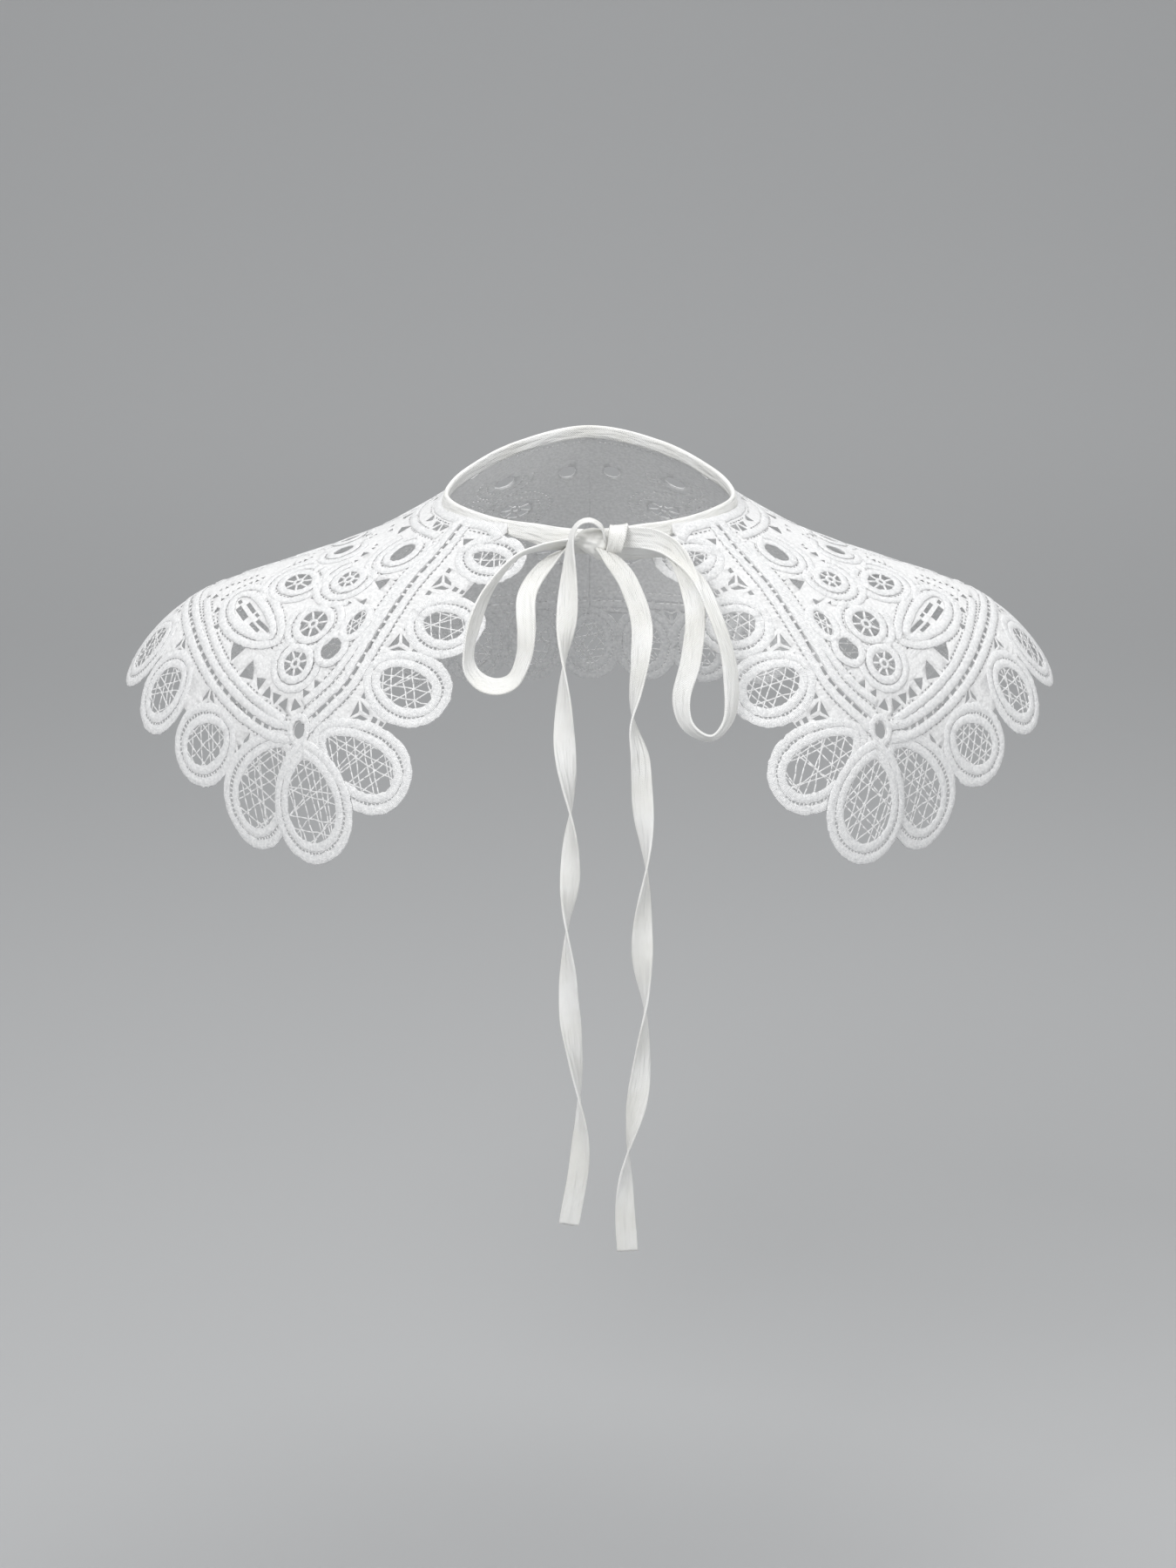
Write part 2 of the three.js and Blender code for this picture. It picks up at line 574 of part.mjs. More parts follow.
// The knot's rounded body, grown by margin on every side.
function knotGeometry(margin) {
  const knot = new THREE.SphereGeometry(0.5, 12, 8);
  knot.deleteAttribute("normal");
  knot.deleteAttribute("uv");
  knot.scale(knotWidth + 2 * margin, knotDepth + 2 * margin, knotHeight + 2 * margin);
  return mergeVertices(knot, 1e-4);
}

// What is left of a tie once the knot's room is cut out of it.
function trimByKnot(geometry) {
  const room = knotGeometry(seamGap * 1.4).translate(knotCentre.x, knotCentre.y, knotCentre.z);
  const pieces = toSolid(geometry).subtract(toSolid(room)).decompose();
  const largest = pieces.reduce((best, piece) => (piece.volume() > best.volume() ? piece : best));
  const mesh = largest.getMesh();
  const trimmed = new THREE.BufferGeometry();
  trimmed.setAttribute("position", new THREE.BufferAttribute(new Float32Array(mesh.vertProperties), 3));
  trimmed.setIndex(new THREE.BufferAttribute(new Uint32Array(mesh.triVerts), 1));
  return trimmed;
}

function buildBinding() {
  const rings = [];
  const tilt = radians(bindingTilt);
  const steps = 44;
  for (let k = 0; k <= steps; k += 1) {
    const turn = mix(-bindingFrontTurn, bindingFrontTurn, k / steps);
    const angle = radians(turn);
    const outward = new THREE.Vector3(Math.sin(angle), Math.cos(angle), 0);
    const up = new THREE.Vector3(-outward.x * Math.sin(tilt), -outward.y * Math.sin(tilt), Math.cos(tilt));
    const across = outward.clone().multiplyScalar(Math.cos(tilt)).setZ(Math.sin(tilt));
    const flare = THREE.MathUtils.smoothstep(Math.abs(turn), bindingFlareTurn, bindingFrontTurn);
    const foot = neckPoint(turn).addScaledVector(outward, flare * bindingFlare);
    const corner = (side, height) => foot.clone()
      .addScaledVector(across, (side * bindingThickness) / 2)
      .addScaledVector(up, height);
    rings.push([corner(-1, 0), corner(1, 0), corner(1, bindingHeight), corner(-1, bindingHeight)]);
  }
  return trimByKnot(stripGeometry(rings));
}

// A ribbon along its route, its broad side turning with the face and tip angles.
function buildRibbon(route, drop, steps) {
  const places = route.map((row) => new THREE.Vector3(
    row.side * loopSpread,
    knotCentre.y - row.front * chestReach,
    knotCentre.z - row.down * drop,
  ));
  const path = new THREE.CatmullRomCurve3(places, false, "centripetal");
  const angleAt = (key, share) => {
    const place = clamp(share, 0, 1) * (route.length - 1);
    const index = Math.min(Math.floor(place), route.length - 2);
    const row = (k) => route[clamp(k, 0, route.length - 1)][key];
    return radians(blend(row(index - 1), row(index), row(index + 1), row(index + 2), place - index));
  };
  const rings = [];
  for (let k = 0; k <= steps; k += 1) {
    const share = k / steps;
    const centre = path.getPoint(share);
    const run = path.getTangent(share);
    const face = angleAt("face", share);
    const tip = angleAt("tip", share);
    const wide = new THREE.Vector3(Math.cos(face) * Math.cos(tip), -Math.sin(face) * Math.cos(tip), Math.sin(tip));
    wide.addScaledVector(run, -wide.dot(run)).normalize();
    const thick = run.clone().cross(wide).normalize();
    const corner = (w, t) => centre.clone()
      .addScaledVector(wide, (w * ribbonWidth) / 2)
      .addScaledVector(thick, (t * ribbonThickness) / 2);
    rings.push([corner(-1, -1), corner(1, -1), corner(1, 1), corner(-1, 1)]);
  }
  return trimByKnot(stripGeometry(rings));
}

function named(name, geometry, material) {
  geometry.computeVertexNormals();
  const mesh = new THREE.Mesh(geometry, material);
  mesh.name = name;
  return mesh;
}

const group = new THREE.Group();
group.add(named("lace_collar", drapeLace(buildLace()), laceMaterial()));
group.add(named("neck_binding", buildBinding(), ribbonMaterial()));

const knot = named("bow_knot", knotGeometry(0), ribbonMaterial());
knot.position.copy(knotCentre);
group.add(knot);

group.add(named("bow_loop_left", buildRibbon(leftLoopRoute, leftLoopDrop, 38), ribbonMaterial()));
group.add(named("bow_loop_right", buildRibbon(rightLoopRoute, rightLoopDrop, 42), ribbonMaterial()));
group.add(named("tie_tail_left", buildRibbon(leftTailRoute, leftTailDrop, 50), ribbonMaterial()));
group.add(named("tie_tail_right", buildRibbon(rightTailRoute, rightTailDrop, 50), ribbonMaterial()));

export default group;
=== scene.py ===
"""A wide white tape lace collar, bound at the neck and tied at the front in a bow with two long ends."""

import math

import bmesh
import bpy
import numpy as np
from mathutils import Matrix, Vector


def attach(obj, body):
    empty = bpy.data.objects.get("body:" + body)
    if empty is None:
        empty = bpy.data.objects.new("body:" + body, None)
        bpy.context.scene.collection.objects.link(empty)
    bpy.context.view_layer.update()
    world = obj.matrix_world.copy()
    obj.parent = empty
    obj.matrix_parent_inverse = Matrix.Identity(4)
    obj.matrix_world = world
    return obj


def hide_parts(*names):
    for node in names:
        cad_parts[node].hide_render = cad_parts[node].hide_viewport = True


MM = 0.001

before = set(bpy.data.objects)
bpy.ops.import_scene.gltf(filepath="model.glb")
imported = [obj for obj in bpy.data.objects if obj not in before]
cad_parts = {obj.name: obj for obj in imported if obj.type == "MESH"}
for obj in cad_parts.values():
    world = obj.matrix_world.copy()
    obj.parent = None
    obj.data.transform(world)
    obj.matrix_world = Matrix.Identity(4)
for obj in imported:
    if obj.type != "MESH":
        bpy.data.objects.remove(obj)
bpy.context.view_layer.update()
rng = np.random.default_rng(7)

# The neck loop and the drape, as in the CAD, in millimetres and degrees
NECK_HALF_WIDTH = 73.0
NECK_HALF_DEPTH = 61.0
NECK_FRONT_HEIGHT = -18.0
NECK_RISE = 26.0
COLLAR_DEPTH = 200.0

# Turn round the neck from the centre back, rise share, heading, and the cloth's slopes at equal steps out
SLOPE_STEP = COLLAR_DEPTH / 5
DRAPE = [
    (0, 1.00, 0, (36, 40, 48, 58, 70, 78, 82)),
    (30, 0.75, 28, (36, 38, 44, 54, 64, 76, 82)),
    (60, 0.35, 52, (34, 31, 34, 40, 52, 66, 78)),
    (90, 0.08, 79, (32, 22, 18, 19, 40, 62, 76)),
    (120, 0.05, 113, (40, 32, 38, 56, 76, 85, 88)),
    (150, 0.02, 149, (54, 48, 52, 62, 72, 80, 84)),
    (180, 0.00, 180, (60, 54, 56, 62, 70, 78, 82)),
]
TURN_STEP = 30
WALK_STEP = 2.0
WALK_COUNT = 132

# Tapes and threads of the lace, in millimetres
TAPE_WIDTH = 4.7
TAPE_THICKNESS = 1.0
SCROLL_TAPE_WIDTH = 4.2
RING_TAPE_WIDTH = 4.4
NECK_LINE_WIDTH = 5.4
TAPE_UNEVENNESS = 0.06
TAPE_WANDER = 0.12
BAND_GAP = 1.9
# Distance of a row of pinholes from the middle of a band or of a single tape
BAND_PINHOLES = 5.9
LINE_PINHOLES = 2.8
PINHOLE_GAP = 0.9
PETAL_RIM = 10.0
TOP_LAYER_HEIGHT = 1.0
BAR_WIDTH = 1.0
BAR_THICKNESS = 0.5
THREAD_WIDTH = 0.72
THREAD_STEP = 5
# Slack of a thread, in degrees of turn and millimetres outwards
THREAD_SAG = (0.075, 0.25)
ROD_SIDES = 6
# How high the middle of each kind of tape lies on the cloth, in millimetres
NECK_LINE_HEIGHT = 0.2
SCROLL_HEIGHT = 0.3
BAND_HEIGHT = 0.35
HUB_HEIGHT = 0.4
DROP_HEIGHT = 0.5
RING_HEIGHT = 0.55
EYELET_HEIGHT = 0.7

# Families of threads in a net: lean in degrees, and spacing as a share of the pitch
NET_FAMILIES = [(34, 1.0), (-30, 1.0), (88, 1.35)]
NET_MARKS = 60

# Rosettes: how far the hole and the clear opening lie inside the middle of the ring, and the hub of a wheel
RING_HOLE_INSET = 1.6
RING_INSET = 2.3
HUB_RADIUS = 2.2
HUB_TAPE_WIDTH = 1.7
SPOKE_COUNT = 7
SPOKE_START = 20
SPOKE_ROOT = 2.6
SPOKE_WIDTH = 1.3
SPOKE_THICKNESS = 0.9

# The cloth between the tapes. A degree of turn is laid out as so many millimetres while it is filled flat.
GROUND_THICKNESS = 0.5
GROUND_CELL = 9.0
STRIP_SCALE = 2.6
BACK_SEAM_GAP = 0.04
PETAL_BED = 2.6
FRONT_WEB_DEPTH = 31
WEB_DEPTH = 25

# Holes in the cloth: how much they are grown when one is held clear of the edge and of the others
HOLE_GROWTH = 1.25
OTHER_HOLE_GROWTH = 1.15
HOLE_MARGIN = 0.5
MOST_HOLES = 4000
SLIT_STEP = 0.4

# Ribbon, in millimetres
RIBBON_WIDTH = 10.0
RIBBON_THICKNESS = 1.1
RIBBON_UNEVENNESS = 0.035
RIBBON_CUP = 0.45
RIBBON_SOFTENING = 90

# The binding: a tape folded over the neck edge, held by the ends that run into the knot
BINDING_HEIGHT = 6.6
BINDING_THICKNESS = 2.7
BINDING_OVERLAP = 1.4
BINDING_TILT = 14
BINDING_STEPS = 260
BINDING_UNEVENNESS = 0.03
BINDING_FRONT_TURN = 178
BINDING_FLARE = 8.0
BINDING_FLARE_TURNS = (156, 176)
BINDING_DIP = 4.0
BINDING_DIP_TURNS = (96, 156)
BINDING_FRONT_GROWTH = 4.2

# Camera: its place in metres, its pitch, and the lens worked out from the photo's 1350 by 1800 pixels
CAMERA_PLACE = (0, -1.545, 0.265)
CAMERA_PITCH = 15.5
PHOTO_HEIGHT = 1800
PHOTO_MIDDLE = 675
FOCAL_PIXELS = 3571
COLLAR_MIDDLE_PIXEL = 677
SENSOR_HEIGHT = 36
# Lamps: name, place, size and power. All point at the middle of the collar.
LAMP_TARGET = (0, 0, -0.1)
LAMPS = [
    ("key", (-1.1, -1.6, 1.5), 1.1, 33),
    ("fill", (1.5, -1.3, 0.7), 1.4, 12),
    ("top", (0.2, 0.6, 1.8), 1.2, 20),
]
FLOOR_PROFILE = [(-4, -0.62), (1.6, -0.62), (2.3, -0.5), (2.7, -0.1), (2.8, 4)]
FLOOR_HALF_WIDTH = 6


def blend(a, b, c, d, t):
    """The smooth curve through a, b, c and d, at t between b and c."""
    linear = c - a
    square = 2 * a - 5 * b + 4 * c - d
    cube = 3 * b - a - 3 * c + d
    return 0.5 * (2 * b + linear * t + square * t**2 + cube * t**3)


def drape_at(turn):
    """Rise, heading and slopes at any turn from the centre back to the centre front."""
    last = len(DRAPE) - 1
    index = min(int(turn // TURN_STEP), last - 1)
    t = turn / TURN_STEP - index
    rows = [DRAPE[abs(index - 1)], DRAPE[index], DRAPE[index + 1], DRAPE[last - abs(last - index - 2)]]
    headings = [row[2] for row in rows]
    if index == 0:
        headings[0] = -headings[0]
    if index + 2 > last:
        headings[3] = 360 - headings[3]
    slopes = [np.array(row[3], float) for row in rows]
    return blend(*[row[1] for row in rows], t), blend(*headings, t), blend(*slopes, t)


def walk(slopes):
    """Reach and drop of the cloth at each step out from the neck edge."""
    middles = (np.arange(WALK_COUNT) + 0.5) * WALK_STEP / SLOPE_STEP
    angles = np.radians(np.interp(middles, np.arange(len(slopes)), slopes))
    reach = np.concatenate([[0], np.cumsum(np.cos(angles))]) * WALK_STEP
    drop = np.concatenate([[0], np.cumsum(np.sin(angles))]) * WALK_STEP
    return reach, drop


RISE, HEADING, REACH, DROP = [], [], [], []
for whole_turn in range(181):
    row_rise, row_heading, row_slopes = drape_at(whole_turn)
    row_reach, row_drop = walk(row_slopes)
    RISE.append(row_rise)
    HEADING.append(row_heading)
    REACH.append(row_reach)
    DROP.append(row_drop)
RISE, HEADING, REACH, DROP = (np.array(rows) for rows in (RISE, HEADING, REACH, DROP))


def cloth_points(turn, out):
    """Points of the draped cloth, in millimetres, for arrays of turn in degrees and out in millimetres."""
    turn = np.asarray(turn, float)
    out = np.clip(np.asarray(out, float), 0, WALK_STEP * (WALK_COUNT - 1))
    side = np.clip(np.abs(turn), 0, 179.999)
    low = np.floor(side).astype(int)
    share = side - low
    step = np.floor(out / WALK_STEP).astype(int)
    part = out / WALK_STEP - step

    def read(table):
        near = table[low, step] * (1 - part) + table[low, step + 1] * part
        far = table[low + 1, step] * (1 - part) + table[low + 1, step + 1] * part
        return near * (1 - share) + far * share

    rise = RISE[low] * (1 - share) + RISE[low + 1] * share
    heading = np.radians(HEADING[low] * (1 - share) + HEADING[low + 1] * share) * np.sign(turn)
    reach = read(REACH)
    x = NECK_HALF_WIDTH * np.sin(np.radians(turn)) + reach * np.sin(heading)
    y = NECK_HALF_DEPTH * np.cos(np.radians(turn)) + reach * np.cos(heading)
    z = NECK_FRONT_HEIGHT + NECK_RISE * rise - read(DROP)
    return np.stack([x, y, z], axis=-1)


def cloth_normals(turn, out):
    along = cloth_points(turn + 0.5, out) - cloth_points(turn - 0.5, out)
    away = cloth_points(turn, out + 1) - cloth_points(turn, np.maximum(out - 1, 0))
    normals = -np.cross(away, along)
    return normals / np.linalg.norm(normals, axis=-1, keepdims=True)


def per_degree(turn, out):
    """Millimetres of cloth in one degree of turn."""
    return np.linalg.norm(cloth_points(turn + 0.5, out) - cloth_points(turn - 0.5, out), axis=-1)


def drape_mesh(mesh):
    """Lays a mesh drawn in turn, out and height over the shoulders, in metres."""
    flat = np.empty(len(mesh.vertices) * 3)
    mesh.vertices.foreach_get("co", flat)
    turn, out, height = flat.reshape(-1, 3).T
    points = cloth_points(turn, out) + cloth_normals(turn, out) * height[:, None]
    below_edge = np.minimum(out, 0)[:, None]
    points += below_edge * (cloth_points(turn, out * 0 + 1) - cloth_points(turn, out * 0))
    mesh.vertices.foreach_set("co", (points * MM).ravel())
    mesh.update()


def lay_around(turn, out_share, lean, sideways, outwards):
    """Millimetres about a place, sideways towards the front and outwards, as turn and out."""
    angle = math.radians(lean)
    side = sideways * math.cos(angle) + outwards * math.sin(angle)
    out = out_share * COLLAR_DEPTH + outwards * math.cos(angle) - sideways * math.sin(angle)
    scale = per_degree(np.full_like(out, turn), np.maximum(out, 0))
    return np.stack([turn + side / scale, out], axis=-1)


def both_sides(points):
    """The same path on both shoulders."""
    return [points, points * np.array([-1, 1])]


def step_lengths(points, closed):
    """True lengths of the steps of a path in turn and out."""
    ends = np.roll(points, -1, axis=0) if closed else points[1:]
    starts = points if closed else points[:-1]
    middle = (starts + ends) / 2
    scale = per_degree(middle[:, 0], np.maximum(middle[:, 1], 0))
    return np.hypot((ends[:, 0] - starts[:, 0]) * scale, ends[:, 1] - starts[:, 1])


def resample(points, spacing, closed):
    """The same path with points about spacing millimetres apart."""
    ring = np.vstack([points, points[:1]]) if closed else points
    travelled = np.concatenate([[0], np.cumsum(step_lengths(ring, False))])
    count = max(int(round(travelled[-1] / spacing)), 3)
    marks = np.linspace(0, travelled[-1], count + 1)
    if closed:
        marks = marks[:-1]
    return np.stack([np.interp(marks, travelled, ring[:, k]) for k in (0, 1)], axis=-1)


def smooth_rows(rows, count):
    """A table's columns along a smooth curve through its rows, by steps of the rows."""
    table = np.array(rows, float)
    padded = np.vstack([2 * table[0] - table[1], table, 2 * table[-1] - table[-2]])
    marks = np.linspace(0, len(table) - 1, count)
    index = np.minimum(marks.astype(int), len(table) - 2)
    t = (marks - index)[:, None]
    return blend(padded[index], padded[index + 1], padded[index + 2], padded[index + 3], t)


def smooth_path(rows):
    """A smooth path through rows of turn and out share."""
    knots = np.array(rows, float) * np.array([1, COLLAR_DEPTH])
    return smooth_rows(knots, 12 * (len(knots) - 1) + 1)


def across(points, closed):
    """Unit vectors across a path, as millimetres, and the scale of its degrees."""
    scale = per_degree(points[:, 0], np.maximum(points[:, 1], 0))
    if closed:
        run = np.roll(points, -1, axis=0) - np.roll(points, 1, axis=0)
    else:
        run = np.gradient(points, axis=0)
    normal = np.stack([-run[:, 1], run[:, 0] * scale], axis=-1)
    return normal / np.linalg.norm(normal, axis=-1, keepdims=True), scale


def shift_path(points, distance, closed):
    """The path moved sideways by true millimetres."""
    normal, scale = across(points, closed)
    return points + distance * np.stack([normal[:, 0] / scale, normal[:, 1]], axis=-1)


def inside(points, polygon):
    """Which points lie inside a closed polygon."""
    x, y = points[:, 0:1], points[:, 1:2]
    ends = np.roll(polygon, -1, axis=0)
    crosses = (polygon[:, 1] > y) != (ends[:, 1] > y)
    rise = np.where(ends[:, 1] == polygon[:, 1], 1e-9, ends[:, 1] - polygon[:, 1])
    at = polygon[:, 0] + (y - polygon[:, 1]) * (ends[:, 0] - polygon[:, 0]) / rise
    return (crosses & (x < at)).sum(axis=1) % 2 == 1


def under(points, covers):
    """Which points lie under any of the covers."""
    hidden = np.zeros(len(points), bool)
    for cover in covers:
        hidden |= inside(points, cover)
    return hidden


# Tapes, bars and threads are gathered flat, in turn, out and height, and draped together.
edge_tapes = bmesh.new()
panel_tapes = bmesh.new()
for tapes in (edge_tapes, panel_tapes):
    tapes.verts.layers.float_vector.new("weave")

bars = []

# The cross-section of a tape, as shares of its half width and half thickness: flat, with a bead at each edge
TAPE_SECTION = [
    (1.0, 0.1), (0.8, 1.0), (0.0, 0.72), (-0.8, 1.0), (-1.0, 0.1), (-0.8, -0.8), (0.0, -0.8), (0.8, -0.8),
]
TAPE_SIDES = len(TAPE_SECTION)


def add_tape(tape_bm, points, width=TAPE_WIDTH, height=0.0, closed=False, spacing=1.8):
    """A woven tape along a path: a flat tube with slightly uneven edges."""
    weave_layer = tape_bm.verts.layers.float_vector["weave"]
    points = resample(points, spacing, closed)
    count = len(points)
    steps = count if closed else count - 1
    normal, scale = across(points, closed)
    uneven = 1 + TAPE_UNEVENNESS * rng.standard_normal(count)
    wander = TAPE_WANDER * rng.standard_normal(count)
    travelled = np.arange(count) * spacing
    for vert in bmesh.ops.create_grid(tape_bm, x_segments=steps, y_segments=TAPE_SIDES, size=1)["verts"]:
        k = round((vert.co.x + 1) / 2 * steps) % count
        side = round((vert.co.y + 1) / 2 * TAPE_SIDES) % TAPE_SIDES
        reach = 0.5 * width * uneven[k] * TAPE_SECTION[side][0]
        lift = 0.5 * TAPE_THICKNESS * TAPE_SECTION[side][1]
        turn = points[k, 0] + (reach + wander[k]) * normal[k, 0] / scale[k]
        out = points[k, 1] + (reach + wander[k]) * normal[k, 1]
        vert.co = (turn, out, height + lift)
        vert[weave_layer] = (travelled[k], reach, height)


def add_bars(starts, ends, width, thickness, height):
    """Straight bars between pairs of places."""
    for start, end in zip(starts, ends):
        bars.append((start[0], start[1], end[0], end[1], width, thickness, height))


def add_thread(start, end, height, covers):
    """A slightly slack thread, in short lengths that follow the cloth and end at the petals on top."""
    length = step_lengths(np.array([start, end]), False)[0]
    count = max(int(math.ceil(length / THREAD_STEP)), 1)
    stops = np.linspace(start, end, count + 1)
    sag = rng.standard_normal((count + 1, 2)) * THREAD_SAG
    sag[[0, -1]] = 0
    stops = stops + sag
    shown = ~under((stops[:-1] + stops[1:]) / 2, covers)
    add_bars(stops[:-1][shown], stops[1:][shown], THREAD_WIDTH, THREAD_WIDTH * 0.9, height)


# The petals of the edge: turn, out, lean, length, width, power of the belly, and whether it lies on others
PETALS = [
    (126, 0.705, -23, 0.335, 0.23, 1.3, False),
    (129, 0.665, 79, 0.32, 0.21, 1.25, False),
    (128, 0.70, 26, 0.29, 0.26, 1.35, True),
    (133, 0.46, 79, 0.255, 0.19, 1.05, False),
    (134, 0.29, 81, 0.21, 0.175, 1.05, False),
    (133.5, 0.095, 84, 0.19, 0.14, 1.05, False),
    (115, 0.78, -42, 0.24, 0.185, 1.05, False),
    (104.2, 0.76, -24, 0.235, 0.195, 1.05, False),
    (95.3, 0.765, -16, 0.235, 0.185, 1.05, False),
    (85, 0.765, 16, 0.235, 0.185, 1.05, False),
    (75, 0.76, 24, 0.235, 0.19, 1.05, False),
    (65, 0.78, 42, 0.24, 0.185, 1.05, False),
    (54, 0.705, 23, 0.32, 0.22, 1.3, False),
    (51, 0.70, -62, 0.3, 0.2, 1.25, False),
    (52.5, 0.72, -18, 0.29, 0.25, 1.35, True),
    (31, 0.76, 0, 0.235, 0.185, 1.05, False),
    (20.7, 0.76, 0, 0.235, 0.185, 1.05, False),
    (10.3, 0.76, 0, 0.235, 0.185, 1.05, False),
]
BACK_PETAL = (0, 0.76, 0, 0.235, 0.185, 1.05, False)

# Bands of two tapes: turn and out along their middle
FRONT_BAND = [
    (126, 0.02), (127.3, 0.1), (128.2, 0.21), (130.2, 0.345), (131.2, 0.46), (130.8, 0.545), (127.0, 0.672),
]
SIDE_BAND = [
    (125.5, 0.7), (121, 0.722), (113, 0.727), (101, 0.718), (90, 0.725),
    (79, 0.718), (67, 0.727), (59, 0.722), (54.5, 0.7),
]
BACK_SEAM_BAND = [(54, 0.02), (52.8, 0.1), (51.8, 0.21), (49.8, 0.345), (49.8, 0.5), (53, 0.672)]
BACK_BAND = [
    (53, 0.705), (47, 0.725), (30, 0.735), (12, 0.735),
    (-12, 0.735), (-30, 0.735), (-47, 0.725), (-53, 0.705),
]

# Rosettes of the front half of a shoulder: turn, out, lean, half width and half height of the tape ring in
# millimetres, and what fills it
ROSETTES = [
    (119.8, 0.555, 0, 9.4, 8.6, "wheel"),
    (116.8, 0.452, 0, 10.4, 9.6, "wheel"),
    (124.9, 0.388, 10, 5.8, 9.6, "net"),
    (124.4, 0.476, 0, 7.3, 8.2, "open"),
    (112, 0.31, 0, 8.4, 7.6, "wheel"),
    (102.6, 0.418, 25, 11.4, 8.4, "wheel"),
    (115.6, 0.168, 0, 7.4, 9.0, "open"),
    (95.2, 0.287, 0, 6.4, 7.6, "open"),
]
# The outer lines of scrolls: turn, out, lean, half width, half height, from and to in degrees round the place
SCROLLS = [
    (119.8, 0.555, 0, 14.2, 13.0, -150, 120),
    (116.8, 0.452, 0, 15.8, 14.8, -85, 190),
    (112, 0.31, 0, 13.6, 12.8, -120, 160),
    (112, 0.31, 0, 18.8, 17.8, -110, 60),
    (102.6, 0.418, 25, 16.8, 13.8, -170, 170),
    (102.6, 0.418, 25, 22.0, 19.0, -150, -20),
    (115.6, 0.168, 0, 12.4, 14.2, -150, 150),
    (115.6, 0.168, 0, 17.4, 19.2, -110, 20),
    (95.2, 0.287, 0, 11.4, 12.6, -40, 200),
]
# Single tapes along the bands and the neck: turn and out
INNER_LINES = [
    [(94, 0.668), (99, 0.67), (104, 0.675), (109, 0.682), (114, 0.685), (119, 0.685), (123.4, 0.684)],
    [(123.4, 0.1), (124.6, 0.2), (127.2, 0.33), (128.4, 0.45), (127.8, 0.54), (125.2, 0.625)],
    [(90, 0.09), (100, 0.09), (110, 0.088), (121, 0.082)],
]
# Small clear gaps between the scrolls: their shape, and the turn, out, lean and size in millimetres of each
GAP_SHAPE = np.array([(-0.5, -0.4), (0.5, -0.45), (0.25, 0.1), (0.0, 0.5), (-0.3, 0.1)])
GAPS = [
    (108.4, 0.64, 20, 11.6), (112.6, 0.644, 200, 10.4), (115.8, 0.65, 20, 6.6), (117.9, 0.652, 190, 6.2),
    (119.9, 0.654, 10, 6.2), (121.9, 0.65, 170, 6.4), (124.0, 0.642, -20, 6.4), (125.0, 0.6, 120, 5.0),
    (126.0, 0.565, 120, 4.4), (98.6, 0.645, 20, 4.8), (101.8, 0.652, 200, 4.4), (94.6, 0.648, 20, 4.4),
    (134.6, 0.075, 10, 6.4), (131.6, 0.07, 190, 5.2), (118.6, 0.056, 0, 5.4), (115.4, 0.06, 180, 5.4),
    (112.2, 0.056, 0, 5.0), (121.2, 0.262, 160, 8.0), (98.6, 0.125, 40, 8.6), (104.2, 0.05, 90, 6.2),
    (101.8, 0.13, 200, 6.4), (96.0, 0.155, 0, 5.6), (100.6, 0.055, 20, 5.4), (109.4, 0.5, 60, 4.6),
    (107.6, 0.355, 10, 5.0), (118.8, 0.36, 0, 4.2), (121.8, 0.33, 180, 4.0), (103.6, 0.24, 30, 4.8),
    (121.2, 0.515, 90, 3.4), (110.4, 0.405, 90, 3.6), (92.6, 0.16, 0, 4.2), (108.6, 0.2, 20, 4.2),
]
# Rows of small triangles: turn and out along each
LATTICES = [
    [(92.4, 0.53), (92.8, 0.6), (93.6, 0.665)],
    [(94.6, 0.51), (95.2, 0.57), (96.4, 0.625)],
    [(91.4, 0.38), (93.6, 0.44), (95.8, 0.48)],
    [(101.2, 0.2), (104.0, 0.235), (105.4, 0.28)],
    [(90.8, 0.2), (92.4, 0.225), (94.6, 0.228)],
    [(97.4, 0.53), (97.6, 0.575), (98.4, 0.62)],
]
# The drop, a long closed loop of tape: turn and out of its middle, lean, and its size in millimetres
DROP_PLACE = (104.6, 0.562)
DROP_LEAN = -82
DROP_LENGTH = 51.0
DROP_WIDTH = 21.0
# Slots of the drop: across it and along it from its middle, half width and half length, in millimetres
DROP_SLOTS = [
    (2.9, 7.6, 1.7, 6.4), (-2.4, 6.2, 1.1, 5.4), (2.6, -8.6, 1.0, 4.6), (-0.9, -12.4, 1.1, 6.6),
    (-2.6, -2.4, 0.9, 1.8), (0.6, 17.4, 1.0, 2.0),
]
# Rosettes and scrolls of the back, as above
BACK_ROSETTES = [
    (38, 0.56, 0, 14.0, 11.0, "wheel"),
    (34, 0.36, 0, 10.5, 9.6, "wheel"),
    (22, 0.56, 0, 14.0, 11.0, "wheel"),
    (18.5, 0.36, 0, 10.5, 9.6, "wheel"),
    (7.2, 0.56, 0, 12.6, 11.0, "wheel"),
    (6.6, 0.2, 0, 6.4, 8.0, "open"),
    (26, 0.2, 0, 7.4, 8.0, "open"),
]
BACK_SCROLLS = [
    (38, 0.56, 0, 19.4, 16.4, -200, 160),
    (34, 0.36, 0, 16.0, 15.0, -200, 160),
    (22, 0.56, 0, 19.4, 16.4, -200, 160),
    (18.5, 0.36, 0, 16.0, 15.0, -200, 160),
    (26, 0.2, 0, 12.6, 13.2, -110, 110),
]
# Eyelets where two bands meet: turn
CORNER_EYELETS = (126.5, 53.5)
CORNER_EYELET_OUT = 0.685


